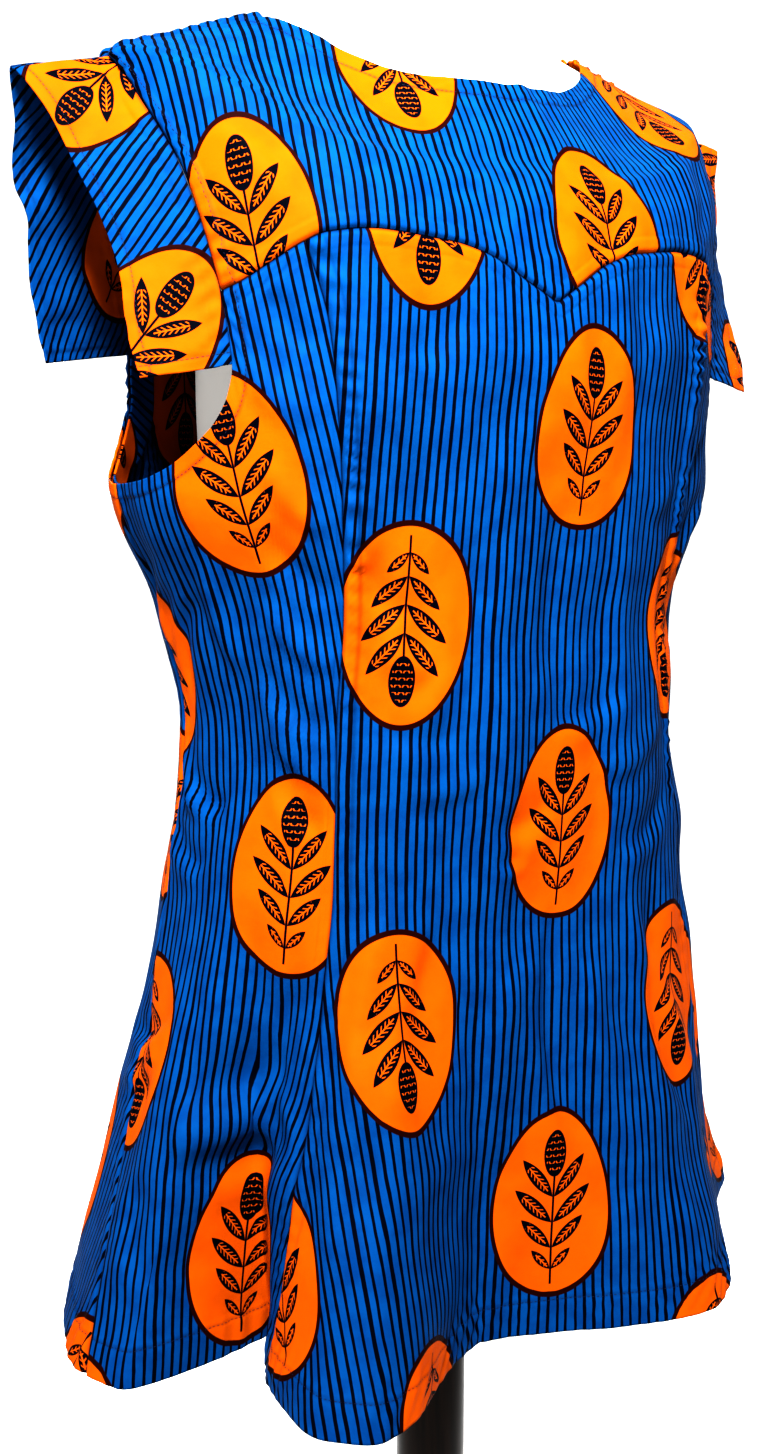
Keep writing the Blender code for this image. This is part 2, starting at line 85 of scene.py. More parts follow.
# Seams of one half, mirrored for the other: level, angle
frontSeamRows = np.array([
    (0.0, 58.5), (0.082, 56.2), (0.138, 54.3), (0.233, 52.3), (0.3, 51.0), (0.4, 51.0),
    (0.45, 49.9), (0.54, 48.8), (0.59, 49.2), (0.64, 50.2), (0.691, 53.5),
])
sideSeamRows = np.array([
    (0.0, 80.0), (0.06, 84.0), (0.12, 90.0), (0.19, 95.0), (0.3, 96.0), (0.541, 95.0),
])
backSeamRows = np.array([
    (0.0, 128.0), (0.2, 131.0), (0.377, 134.0), (0.47, 132.0), (0.54, 126.0), (0.598, 115.5),
])

# Lower edge of the yoke, from the centre dip to the armhole: angle, level
sweetheartRows = np.array([
    (0.0, 0.668), (6.8, 0.682), (18.0, 0.702), (28.0, 0.709), (39.0, 0.708),
    (50.0, 0.699), (53.5, 0.691), (60.0, 0.673), (64.5, 0.661), (67.6, 0.655),
])

# Armhole loop from the shoulder tip down the front, under the arm and up the back:
# place in the loop, angle, level
armholeRows = np.array([
    (0, 90.0, 0.793), (1, 85.4, 0.7825), (2, 80.6, 0.7635), (3, 76.8, 0.746),
    (4, 73.4, 0.7265), (5, 70.9, 0.702), (6, 69.2, 0.681), (7, 67.6, 0.655),
    (8, 66.6, 0.63), (9, 66.2, 0.612), (10, 67.0, 0.594), (11, 69.4, 0.578),
    (12, 73.5, 0.564), (13, 79.0, 0.551), (14, 86.5, 0.543), (15, 95.0, 0.541),
    (16, 102.0, 0.544), (17, 108.5, 0.555), (18, 113.0, 0.574), (19, 115.5, 0.598),
    (20, 115.5, 0.625), (21, 113.5, 0.652), (22, 110.0, 0.682), (23, 105.5, 0.711),
    (24, 101.0, 0.738), (25, 96.5, 0.762), (26, 92.5, 0.781), (27, 90.0, 0.793),
])
armPlaces = {"yokeCorner": 7, "sleeveFront": 9, "underarm": 15, "backCorner": 19,
             "sleeveBack": 20, "loopEnd": 27}


def through(rows, column, at):
    # smooth curve through a column that never overshoots
    x, y = rows[:, 0], rows[:, column]
    step = np.diff(x)
    rise = np.diff(y) / step
    before, after = rise[:-1], rise[1:]
    same = before * after > 0
    inner = np.zeros_like(before)
    inner[same] = 2 * before[same] * after[same] / (before[same] + after[same])
    slope = np.concatenate([rise[:1], inner, rise[-1:]])
    at = np.clip(np.asarray(at, float), x[0], x[-1])
    k = np.clip(np.searchsorted(x, at, side="right") - 1, 0, len(x) - 2)
    t = (at - x[k]) / step[k]
    start = (2 * t**3 - 3 * t**2 + 1) * y[k] + (t**3 - 2 * t**2 + t) * step[k] * slope[k]
    end = (3 * t**2 - 2 * t**3) * y[k + 1] + (t**3 - t**2) * step[k] * slope[k + 1]
    return start + end


def ring(rows, angle, level):
    # distance from the axis, set back and height of a body surface
    halfWidth = through(rows, 3, level)
    front = np.cos(angle) >= 0
    depth = np.where(front, through(rows, 4, level), through(rows, 5, level))
    square = np.where(front, through(rows, 6, level), dress["backSquareness"])
    across, along = np.abs(np.sin(angle)), np.abs(np.cos(angle))
    radius = ((across / halfWidth) ** square + (along / depth) ** square) ** (-1 / square)
    middle = np.where(front, through(rows, 1, level), through(rows, 2, level))
    height = middle + (level - middle) * across ** through(rows, 7, level)
    return radius, through(rows, 8, level), height


def place(angle, radius, back, height):
    return np.stack([radius * np.sin(angle), back - radius * np.cos(angle),
                     height + dress["hemHeight"]], axis=-1)


def cloth(degrees, level):
    degrees, level = np.broadcast_arrays(np.asarray(degrees, float), np.asarray(level, float))
    angle = np.radians(degrees)
    radius, back, height = ring(ringRows, angle, level)
    plain = ring(ringRows, angle, np.zeros_like(angle))[0]
    fold = through(hemRows, 1, (degrees + 180.0) % 360.0 - 180.0) - plain
    grown = np.clip(1 - level / dress["foldTop"], 0, 1) ** dress["foldPower"]
    return place(angle, radius + fold * grown, back, height)


def unit(vectors):
    return vectors / np.maximum(np.linalg.norm(vectors, axis=-1, keepdims=True), 1e-9)


def clothNormal(degrees, level, aside=0.05, upward=0.001):
    upper = np.minimum(level + upward / 2, ringRows[-1, 0])
    around = cloth(degrees + aside, level) - cloth(degrees - aside, level)
    return unit(np.cross(around, cloth(degrees, upper) - cloth(degrees, upper - upward)))


def gridNormal(points):
    return unit(np.cross(np.gradient(points, axis=1), np.gradient(points, axis=0)))


def patch(bottom, top, first, last):
    # pairs of angle and level inside four edges: rows go up, columns across
    v = np.linspace(0, 1, len(first))[:, None, None]
    u = np.linspace(0, 1, len(bottom))[None, :, None]
    across = (1 - u) * first[:, None] + u * last[:, None]
    upward = (1 - v) * bottom[None] + v * top[None]
    ends = (1 - v) * ((1 - u) * bottom[0] + u * bottom[-1]) + v * ((1 - u) * top[0] + u * top[-1])
    return across + upward - ends


def seamRun(seam, top, count):
    level = np.linspace(0, top, count)
    return np.stack([through(seam, 1, level), level], axis=-1)


def hemRun(start, end, count, samples=400):
    # equal steps of cloth along the hem
    fine = np.linspace(start, end, samples)
    steps = np.linalg.norm(np.diff(cloth(fine, 0.0), axis=0), axis=1)
    walk = np.concatenate([[0], np.cumsum(steps)])
    degrees = np.interp(np.linspace(0, walk[-1], count), walk, fine)
    return np.stack([degrees, np.zeros(count)], axis=-1)


def sweetheartRun(start, end, count):
    degrees = np.linspace(start, end, count)
    return np.stack([degrees, through(sweetheartRows, 1, np.abs(degrees))], axis=-1)


def necklineRun(start, end, count):
    return np.stack([np.linspace(start, end, count), np.full(count, ringRows[-1, 0])], axis=-1)


def armholeRun(start, end, count):
    at = np.linspace(start, end, count)
    return np.stack([through(armholeRows, 1, at), through(armholeRows, 2, at)], axis=-1)


def shoulderRun(count):
    level = np.linspace(armholeRows[0, 2], ringRows[-1, 0], count)
    return np.stack([np.full(count, 90.0), level], axis=-1)


def joined(*runs):
    return np.concatenate([runs[0]] + [run[1:] for run in runs[1:]])


def smoothNoise(x, y, seed, size=64):
    # soft random heights from -1 to 1 on a square lattice
    table = np.random.RandomState(seed).rand(size, size) * 2 - 1
    xi, yi = np.floor(x).astype(int), np.floor(y).astype(int)
    u, v = ease(x - xi, 0, 1), ease(y - yi, 0, 1)
    low, high, left, right = yi % size, (yi + 1) % size, xi % size, (xi + 1) % size
    a, b = table[low, left], table[low, right]
    c, d = table[high, left], table[high, right]
    return (a * (1 - u) + b * u) * (1 - v) + (c * (1 - u) + d * u) * v


def ease(value, low, high):
    t = np.clip((value - low) / (high - low), 0, 1)
    return t * t * (3 - 2 * t)


# Creases and soft troughs on the hanging cloth, listed one by one: angle and level of one end,
# the other end, width and height in millimetres, a trough below zero
creaseRows = [
    # drag lines of the right side panel into the princess seam
    (-64, 0.52, -50, 0.47, 8, -2.4), (-65, 0.47, -50, 0.43, 7, 2.2), (-68, 0.44, -51, 0.39, 8, -2.6),
    (-66, 0.4, -51, 0.36, 7, 2.0), (-64, 0.37, -52, 0.33, 8, -2.2), (-62, 0.56, -51, 0.51, 8, 1.8),
    (-76, 0.5, -70, 0.42, 9, 2.0), (-79, 0.48, -90, 0.4, 8, -2.4), (-86, 0.5, -96, 0.43, 9, 2.0),
    (-94, 0.38, -84, 0.33, 8, 2.4), (-90, 0.36, -76, 0.34, 8, -2.2), (-96, 0.33, -80, 0.3, 9, -2.0),
    # under the right bust and over the waist of the centre panel
    (-46, 0.5, -36, 0.46, 11, -1.8), (-44, 0.45, -30, 0.43, 10, 1.6), (-42, 0.4, -24, 0.39, 10, -2.0),
    (-40, 0.36, -16, 0.37, 9, 1.6), (-20, 0.33, 4, 0.35, 11, -1.8), (-17, 0.312, -6, 0.316, 6, -1.6),
    (-2, 0.4, 26, 0.42, 11, -1.8), (12, 0.36, 42, 0.39, 10, 1.6), (20, 0.31, 46, 0.34, 11, -2.0),
    (-34, 0.53, -34, 0.36, 16, 2.2), (-24, 0.44, -23, 0.28, 15, -2.2), (-14, 0.52, -10, 0.34, 18, 1.6),
    (4, 0.54, 8, 0.38, 17, -1.8), (30, 0.52, 42, 0.55, 12, 1.6), (-38, 0.62, -24, 0.66, 14, -1.2),
    # left side panel
    (62, 0.58, 50, 0.52, 8, -2.4), (65, 0.53, 51, 0.47, 8, 2.2), (72, 0.5, 55, 0.43, 8, -2.4),
    (86, 0.46, 64, 0.4, 9, 2.2), (92, 0.42, 66, 0.37, 9, -2.2), (84, 0.35, 60, 0.34, 9, 2.0),
    # skirt front
    (-8, 0.26, -14, 0.1, 13, 2.6), (4, 0.29, 6, 0.11, 12, -2.8), (16, 0.27, 20, 0.08, 13, 2.2),
    (-27, 0.29, -30, 0.12, 12, -2.4), (-37, 0.31, -42, 0.13, 12, 2.4), (34, 0.28, 40, 0.1, 13, -2.4),
    (-78, 0.168, -60, 0.196, 17, -3.4), (-77, 0.14, -63, 0.156, 13, 2.6), (-74, 0.11, -57, 0.16, 17, -3.0),
    (-104, 0.18, -82, 0.216, 8, -2.0), (-100, 0.15, -84, 0.19, 8, 1.8), (-47, 0.19, -42, 0.07, 12, 2.0),
    (-55, 0.26, -60, 0.12, 11, -2.6), (-80, 0.12, -72, 0.05, 10, -2.0),
    # yoke and shoulders
    (-12, 0.71, -24, 0.765, 14, -1.2), (14, 0.7, 26, 0.765, 14, -1.2), (0, 0.7, 0, 0.745, 16, -1.0),
    (-56, 0.7, -68, 0.76, 9, 1.3), (58, 0.7, 68, 0.76, 9, 1.3), (-48, 0.71, -60, 0.78, 10, -1.3),
    (48, 0.71, 60, 0.78, 10, -1.2), (-60, 0.66, -52, 0.62, 9, -1.6), (-66, 0.64, -54, 0.57, 8, 1.4),
    # back side panels
    (112, 0.56, 130, 0.47, 9, 2.2), (110, 0.52, 128, 0.43, 9, -2.4), (104, 0.48, 124, 0.4, 9, 2.0),
    (102, 0.42, 126, 0.37, 9, -2.4), (104, 0.35, 128, 0.35, 9, 1.8), (-112, 0.56, -130, 0.47, 9, 2.2),
    (-110, 0.52, -128, 0.43, 9, -2.4), (-104, 0.47, -126, 0.4, 9, 1.8), (-102, 0.41, -124, 0.36, 9, -2.4),
    (112, 0.22, 104, 0.08, 12, -2.4), (-118, 0.24, -112, 0.09, 12, -2.4), (122, 0.26, 120, 0.12, 12, 2.0),
    # back centre panel
    (140, 0.45, 166, 0.42, 10, -2.4), (138, 0.4, 170, 0.39, 9, 2.2), (142, 0.36, 172, 0.37, 10, -2.4),
    (-140, 0.44, -164, 0.42, 10, -2.4), (-138, 0.4, -170, 0.4, 9, 2.2), (-142, 0.35, -170, 0.36, 10, -2.2),
    (150, 0.6, 172, 0.54, 18, -1.8), (-150, 0.6, -172, 0.54, 18, -1.8), (180, 0.66, 180, 0.74, 20, -1.4),
    (150, 0.3, 154, 0.12, 14, 2.4), (172, 0.28, 170, 0.1, 13, -2.6), (-156, 0.28, -152, 0.12, 14, 2.4),
]


# Lie of the hanging cloth, in metres
lie = {
    "radius": 0.19,  # mean distance from the axis
    "creases": 1.7,  # times the heights above
    "bow": 0.10,  # how far a crease bends aside, as a share of its length
    "flanks": (1.35, 0.85),  # one flank steeper than the other
    "beside": (0.35, 1.9),  # counter-swell: share of the height, widths aside
    "wander": (0.05, 0.13),  # how far the flutes lean, over what length
    # unevenness: width, length, height, place in the noise and its seed
    "flutes": (0.024, 0.22, 0.0030, 0, 0, 3),
    "soft": (0.050, 0.045, 0.0025, 9, 5, 5),
    "small": (0.016, 0.022, 0.00045, 3, 7, 8),
    "calm": (0.60, 0.58, 0.74),  # how much calmer on the form, between which levels
}


def creaseHeight(degrees, level):
    total = np.zeros_like(level)
    reach = math.radians(1) * lie["radius"]
    share, aside = lie["beside"]
    for fromAngle, fromLevel, toAngle, toLevel, width, height in creaseRows:
        x = ((degrees - fromAngle + 180) % 360 - 180) * reach
        y = level - fromLevel
        dx, dy = (toAngle - fromAngle) * reach, toLevel - fromLevel
        long = math.hypot(dx, dy)
        t = (x * dx + y * dy) / long**2
        bow = lie["bow"] * long * np.sin(np.pi * np.clip(t, 0, 1))
        across = ((x * dy - y * dx) / long - bow) / (width * mm)
        fade = ease(1.15 - 1.3 * (2 * t - 1) ** 2, 0, 1)
        steep = across * np.where(across > 0, *lie["flanks"])
        total += height * mm * fade * (np.exp(-steep**2) - share * np.exp(-(steep - aside) ** 2))
    return total * lie["creases"]


def hangHeight(degrees, level):
    # the same on both sides of the middle of the back
    wrapped = (degrees + 160) % 360 - 160
    later = ease(wrapped, 160, 200)
    return hangWave(wrapped, level) * (1 - later) + hangWave(wrapped - 360, level) * later


def hangWave(degrees, level):
    # slow unevenness of hanging cotton, calmer where it lies on the form
    around = degrees * math.radians(1) * lie["radius"]
    far, length = lie["wander"]
    lean = around + far * smoothNoise(level / length, around * 0, 2)
    total = 0.0
    for x, kind in ((lean, "flutes"), (around, "soft"), (around, "small")):
        width, tall, height, placeX, placeY, seed = lie[kind]
        total = total + smoothNoise(x / width + placeX, level / tall + placeY, seed) * height
    less, low, high = lie["calm"]
    return total * (1 - less * ease(level, low, high))


# Finish of an edge, in metres: how far it is turned, how dark the painted shade along its turned
# line is (the furrow under the stitches), extra height of the turning, depth of the roll at the
# edge, pucker height and length, and from how far along the edge the turning shows. A sewn edge,
# one with a groove, ends at the groove's depth, so that it meets its neighbour, and gets painted
# shade in its groove
edgeColumns = ("turn", "line", "raised", "groove", "pucker", "pitch", "start")
edgeRows = {
    "seam": (0.010, 0.0, 0.0003, 0.0018, 0.00030, 0.014, -1),
    "under": (0.010, 0.0, -0.0004, 0.0014, 0.00045, 0.011, -1),
    "lapped": (0.011, 0.35, 0.0021, 0.0008, 0.00210, 0.0115, 0.33),
    "join": (0.010, 0.45, 0.0017, 0.0006, 0.00170, 0.0105, -1),
    "hem": (0.022, 0.5, 0.0009, 0.0, 0.00120, 0.014, -1),
    "neck": (0.012, 0.5, 0.0005, 0.0, 0.00035, 0.015, -1),
    "arm": (0.009, 0.45, 0.0006, 0.0, 0.00055, 0.011, -1),
    "head": (0.010, 0.0, -0.0003, 0.0003, 0.00090, 0.0100, -1),
    "open": (0.007, 0.4, 0.0003, 0.0, 0.00025, 0.014, -1),
    "ridge": (0.006, 0.0, 0.0003, 0.0008, 0.00025, 0.012, -1),
}
edgeKinds = {kind: dict(zip(edgeColumns, row)) for kind, row in edgeRows.items()}
edgeShape = {
    "shows": (0.25, 0.75, 0.04),  # of a turning before its start, after it, length of the change
    "band": (0.94, 1.22),  # where the turning ends, in shares of its width
    "furrow": (0.0013, 0.0004),  # width and depth under the stitches
    "rhythm": (0.05, 6),  # how the puckers wander: length, amount
    "sizes": (0.021, 0.55, 0.45),  # how they vary in height: length, mean, spread
    "reach": (0.7, 0.75),  # where they are highest and how wide, in shares of the turning
    "groove": 0.0016,
    "plain": 0.0022,  # cloth without puckers beside a groove
    # widths of the painted shade on a turned line and in a seam's groove
    "turnShadeWidth": 0.0012,
    "seamShadeWidth": 0.0011,
}


def edgeDistances(points):
    # distance of each point from the left, right, bottom and top edges, and along them
    rowSteps = np.linalg.norm(np.diff(points, axis=1), axis=-1)
    colSteps = np.linalg.norm(np.diff(points, axis=0), axis=-1)
    fromLeft = np.concatenate([np.zeros((len(points), 1)), np.cumsum(rowSteps, axis=1)], axis=1)
    fromBottom = np.concatenate([np.zeros((1, points.shape[1])), np.cumsum(colSteps, axis=0)], axis=0)
    return {
        "left": (fromLeft, fromBottom), "right": (fromLeft[:, -1:] - fromLeft, fromBottom),
        "bottom": (fromBottom, fromLeft), "top": (fromBottom[-1:] - fromBottom, fromLeft),
    }


def edgeHeight(points, finishes):
    total, sunk, clear = (np.full(points.shape[:2], value) for value in (0.0, 0.0, 1.0))
    fields = edgeDistances(points)
    early, rest, change = edgeShape["shows"]
    bandStart, bandEnd = edgeShape["band"]
    furrowWidth, furrowDepth = edgeShape["furrow"]
    wander, amount = edgeShape["rhythm"]
    vary, mean, spread = edgeShape["sizes"]
    highest, broad = edgeShape["reach"]
    for number, (edge, kind) in enumerate(finishes.items()):
        settings = edgeKinds[kind]
        away, run = fields[edge]
        turn, start = settings["turn"], settings["start"]
        shows = early + rest * ease(run, start - change, start + change)
        band = 1 - ease(away, turn * bandStart, turn * bandEnd)
        stitched = np.exp(-((away - turn) / furrowWidth) ** 2)
        drift = smoothNoise(run / wander, run * 0 + number, 11 + number)
        wave = np.sin(2 * np.pi * run / settings["pitch"] + amount * drift)
        sizes = mean + spread * smoothNoise(run / vary + 4, run * 0 + number, 23)
        reach = np.exp(-((away - turn * highest) / (turn * broad)) ** 2)
        total += (settings["raised"] * band - furrowDepth * stitched) * shows
        total += settings["pucker"] * wave * sizes * reach * shows
        if settings["groove"]:
            sunk += settings["groove"] * np.exp(-((away / edgeShape["groove"]) ** 2))
            clear *= 1 - np.exp(-((away / edgeShape["plain"]) ** 2))
    return total * clear - sunk


def paintedSeamShade(points, finishes):
    # painted shade: 1 on a sewn or turned line, where the groove and the furrow under the stitches lie in
    # shade, 0 away from it
    fields = edgeDistances(points)
    paintedShade = np.zeros(points.shape[:2])
    for edge, kind in finishes.items():
        settings = edgeKinds[kind]
        away = fields[edge][0]
        fromTurn = (away - settings["turn"]) / edgeShape["turnShadeWidth"]
        line = settings["line"] * np.exp(-(fromTurn**2))
        if settings["groove"]:
            line += np.exp(-((away / edgeShape["seamShadeWidth"]) ** 2))
        paintedShade = np.maximum(paintedShade, line)
    return paintedShade


def flatten(points, turns=600, smallest=8, pace=1.7):
    # flat cut of a grid of cloth: relax its threads back to their lengths, every other thread first
    rows, columns = points.shape[:2]
    middle = columns // 2
    if rows % 2 and columns % 2 and min(rows, columns) > smallest:
        flat = resampled(flatten(points[::2, ::2]), np.linspace(0, 1, rows),
                         np.linspace(0, 1, columns))
    else:
        fields = edgeDistances(points)
        fromLeft, fromBottom = fields["left"][0], fields["bottom"][0][:, middle:middle + 1]
        flat = np.stack([fromLeft - fromLeft[:, middle:middle + 1],
                         np.repeat(fromBottom, columns, axis=1)], axis=-1)
    every = slice(None)
    pairs = [
        ((every, slice(0, -1)), (every, slice(1, None))),
        ((slice(0, -1), every), (slice(1, None), every)),
        ((slice(0, -1), slice(0, -1)), (slice(1, None), slice(1, None))),
        ((slice(1, None), slice(0, -1)), (slice(0, -1), slice(1, None))),
    ]
    lengths = [np.linalg.norm(points[a] - points[b], axis=-1) for a, b in pairs]
    shares = np.zeros((rows, columns, 1))
    for a, b in pairs:
        shares[a] += 1
        shares[b] += 1
    for _ in range(turns):
        move = np.zeros_like(flat)
        for (a, b), length in zip(pairs, lengths):
            gap = flat[b] - flat[a]
            size = np.maximum(np.linalg.norm(gap, axis=-1), 1e-9)
            pull = gap * (0.5 * (size - length) / size)[..., None]
            move[a] += pull
            move[b] -= pull
        flat += move / shares * pace
    grain = flat[-1, middle] - flat[0, middle]
    turn = math.atan2(grain[0], grain[1])
    flat = flat - flat[0, middle]
    return turned(flat, turn)


def turned(flat, angle):
    c, s = math.cos(angle), math.sin(angle)
    return np.stack([flat[..., 0] * c - flat[..., 1] * s, flat[..., 0] * s + flat[..., 1] * c], axis=-1)


def densePlaces(count, tight):
    # places from 0 to 1 that stand closer at both ends
    t = np.linspace(0, 1, count)
    return t - tight * np.sin(2 * np.pi * t) / (2 * np.pi)


def resampled(grid, up, over):
    # values between the points of a grid, at places from 0 to 1
    rows, columns = grid.shape[:2]
    up, over = up * (rows - 1), over * (columns - 1)
    i = np.minimum(up.astype(int), rows - 2)
    j = np.minimum(over.astype(int), columns - 2)
    a, b = (up - i)[:, None, None], (over - j)[None, :, None]
    low = grid[i][:, j] * (1 - b) + grid[i][:, j + 1] * b
    high = grid[i + 1][:, j] * (1 - b) + grid[i + 1][:, j + 1] * b
    return low * (1 - a) + high * a


def flatArea(flat):
    a, b = flat[1:, 1:] - flat[:-1, :-1], flat[1:, :-1] - flat[:-1, 1:]
    return float(np.abs(a[..., 0] * b[..., 1] - a[..., 1] * b[..., 0]).sum() / 2)


def drawnIn(points, normals, amount):
    # each of the four edges moved inwards along the cloth
    moved = points.copy()
    every = slice(None)
    for edge, side in (((every, 0), 1), ((every, -1), -1), ((0, every), -1), ((-1, every), 1)):
        along = unit(np.gradient(points[edge], axis=0))
        moved[edge] += side * amount * np.cross(along, normals[edge])
    return moved


def finishPiece(thing, slot, *nodes):
    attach(thing, "root")
    if nodes:
        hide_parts(*nodes)
    return thing


def linked(name, data):
    thing = bpy.data.objects.new(name, data)
    bpy.context.scene.collection.objects.link(thing)
    return thing


def meshObject(name, shape, material):
    # object made of a bmesh, which is freed
    mesh = bpy.data.meshes.new(name)
    shape.to_mesh(mesh)
    shape.free()
    mesh.materials.append(material)
    mesh.shade_smooth()
    return linked(name, mesh)


def clothSheet(name, points, cut, paintedShade, material):
    # sheet of cloth through a grid of points, with its cut as the print's coordinates
    rows, columns = points.shape[:2]
    sheet = bmesh.new()
    bmesh.ops.create_grid(sheet, x_segments=columns - 1, y_segments=rows - 1, size=1)
    thing = meshObject(name, sheet, material)
    mesh = thing.data
    mesh.vertices.foreach_set("co", points.reshape(-1))
    corners = np.empty(len(mesh.loops), np.int32)
    mesh.loops.foreach_get("vertex_index", corners)
    layer = mesh.uv_layers.new(name="cut")
    layer.data.foreach_set("uv", cut.reshape(-1, 2)[corners].reshape(-1).astype(np.float32))
    # painted shade along seams and turned lines, stored for the material's colour
    seam = mesh.attributes.new("seam", "FLOAT", "POINT")
    seam.data.foreach_set("value", paintedShade.reshape(-1).astype(np.float32))
    mesh.update()
    wall = thing.modifiers.new("wall", "SOLIDIFY")
    wall.thickness = dress["wall"]
    wall.offset = -1
    wall.use_even_offset = False
    return thing


def declareCut(piece, cut):
    low, high = cut.reshape(-1, 2).min(axis=0), cut.reshape(-1, 2).max(axis=0)
    width, length = (float(v) for v in high - low)
    area = flatArea(cut)
    print(f"{piece.name}: cut {width:.3f} x {length:.3f} m, {area:.4f} m2")


class Wire:
    # one output of a shader node, with the maths that is used on it
    def __init__(self, tree, socket=None):
        self.tree, self.socket = tree, socket

    def node(self, kind, values=None, output=0, **settings):
        made = self.tree.nodes.new(kind)
        for key, value in settings.items():
            setattr(made, key, value)
        for key, value in (values or {}).items():
            if isinstance(value, Wire):
                self.tree.links.new(value.socket, made.inputs[key])
            else:
                made.inputs[key].default_value = value
        return Wire(self.tree, made.outputs[output]) if len(made.outputs) else None

    def maths(self, operation, *others):
        return self.node("ShaderNodeMath", dict(enumerate((self, *others))), operation=operation)

    def __rsub__(self, other):
        return self.node("ShaderNodeMath", {0: other, 1: self}, operation="SUBTRACT")

    def between(self, low, high):
        # 0 below low and 1 above high, or the other way round where low is the larger
        values = {0: self, 1: min(low, high), 2: max(low, high), 3: float(low > high), 4: float(low < high)}
        return self.node("ShaderNodeMapRange", values, interpolation_type="SMOOTHSTEP")

    def mixed(self, first, second):
        # colour between two, this wire as the factor
        return self.node("ShaderNodeMix", {0: self, 6: first, 7: second}, output=2, data_type="RGBA")

    def noise(self, scale, detail):
        return self.node("ShaderNodeTexNoise", {"Vector": self, "Scale": scale, "Detail": detail})

    def bump(self, strength, distance):
        return self.node("ShaderNodeBump", {"Strength": strength, "Distance": distance, "Height": self})


# The signs and short names that stand for a maths node
wireMaths = {
    "__add__": "ADD", "__radd__": "ADD", "__mul__": "MULTIPLY", "__rmul__": "MULTIPLY",
    "__sub__": "SUBTRACT", "__truediv__": "DIVIDE", "__abs__": "ABSOLUTE", "least": "MINIMUM",
    "most": "MAXIMUM", "floor": "FLOOR", "part": "FRACT", "root": "SQRT", "wave": "SINE",
}
for name, operation in wireMaths.items():
    setattr(Wire, name, functools.partialmethod(Wire.maths, operation))


def newMaterial(name):
    material = bpy.data.materials.new(name)
    material.use_nodes = True
    tree = material.node_tree
    tree.nodes.clear()
    return material, Wire(tree)


def finishMaterial(wire, values):
    shader = wire.node("ShaderNodeBsdfPrincipled", values)
    wire.node("ShaderNodeOutputMaterial", {"Surface": shader})


# The print: dark hand-drawn stripes on blue, with orange ovals that each hold a leaf sprig; also the painted
# shade along seams
waxPrint = {
    "blue": (0.000, 0.030, 0.108, 1.0),
    "blueDeep": (0.000, 0.022, 0.086, 1.0),
    "stripe": (0.0002, 0.0002, 0.0014, 1.0),
    "orange": (0.300, 0.045, 0.000, 1.0),
    "orangeDeep": (0.240, 0.033, 0.000, 1.0),
    "outline": (0.007, 0.0004, 0.0004, 1.0),
    # dark colour painted as shade along seam grooves and turned lines
    "seam": (0.0010, 0.0006, 0.0030, 1.0),
    "stripePitch": 0.0060,
    "wobble": 0.0016,
    # half width of a stripe, the most that is added to it, its unevenness and its place, as
    # shares of the pitch
    "stripeHalf": (0.142, 0.090, 0.045),
    "stripePlace": 0.12,
    "columnPitch": 0.116,
    "rowPitch": 0.246,
    "ovalHalf": (0.0405, 0.0610),
    "eggShape": 0.10,
    # in millimetres
    "outlineHalf": 1.20,
    "softEdges": {"oval": 0.15, "outline": 0.22, "sprig": 0.16, "veins": 0.12},
    # how strongly the dark stripe, the deep orange and the painted seam shade show
    "strength": {"stripe": 0.985, "warm": 0.6, "seam": 0.62},
    "threadPitch": 0.00052,
    "bump": (0.5, 0.00014),
    "specular": 0.01,
}
# leaves of one side of the sprig, in millimetres: foot x, foot y, tip x, tip y, half width
leafRows = [
    (0.5, 4.0, 22.0, 30.0, 4.6),
    (0.5, -13.0, 26.0, 10.0, 4.8),
    (0.5, -30.0, 21.0, -10.0, 4.2),
    (0.5, -44.0, 13.0, -31.0, 3.0),
]
# stem and pod: half width, middle, half length; scale of the pod: width, height
sprigParts = {"vein": 0.42, "stem": (0.75, -14.0, 40.0), "pod": (8.0, 33.0, 15.5), "scale": (4.8, 4.4)}


def sprig(x, y):
    # black shape and its orange veins, from millimetres about the middle of the oval
    side = abs(x)
    shape = None
    veins = None
    for footX, footY, tipX, tipY, halfWidth in leafRows:
        middleX, middleY = (footX + tipX) / 2, (footY + tipY) / 2
        half = math.hypot(tipX - footX, tipY - footY) / 2
        alongX, alongY = (tipX - footX) / 2 / half, (tipY - footY) / 2 / half
        arc = (half**2 + halfWidth**2) / (2 * halfWidth)
        shift = arc - halfWidth
        dx, dy = side - middleX, y - middleY
        along = dx * alongX + dy * alongY
        across = abs(dx * alongY - dy * alongX)
        reach = ((across + shift) * (across + shift) + along * along).root()
        leaf = reach - arc
        shape = leaf if shape is None else shape.least(leaf)
        vein = (across - sprigParts["vein"]).most(abs(along + 1.0) - half * 0.62)
        rib = (abs((along * 0.28 + across * 0.34).part() - 0.5) - 0.36) * -2.2
        rib = rib.most(across - halfWidth * 0.55).most(abs(along) - half * 0.55)
        veins = vein if veins is None else veins.least(vein)
        veins = veins.least(rib)
    halfStem, stemMiddle, stemReach = sprigParts["stem"]
    stem = (side - halfStem).most(abs(y - stemMiddle) - stemReach)
    halfPod, podMiddle, podReach = sprigParts["pod"]
    podX, podY = side / halfPod, (y - podMiddle) / podReach
    pod = (podX * podX + podY * podY).root() * halfPod - halfPod
    scaleWidth, scaleHeight = sprigParts["scale"]
    row = y / scaleHeight
    cellY = row.part() - 0.35
    cellX = (x / scaleWidth + row.floor() * 0.5).part() - 0.5
    arc = abs((cellX * cellX + cellY * cellY * 0.8).root() - 0.36) - 0.075
    scales = arc.most(cellY + 0.02).most(pod / 4.0 + 0.35)
    veins = veins.least(scales * 3.0)
    shape = shape.least(stem).least(pod)
    return shape, veins


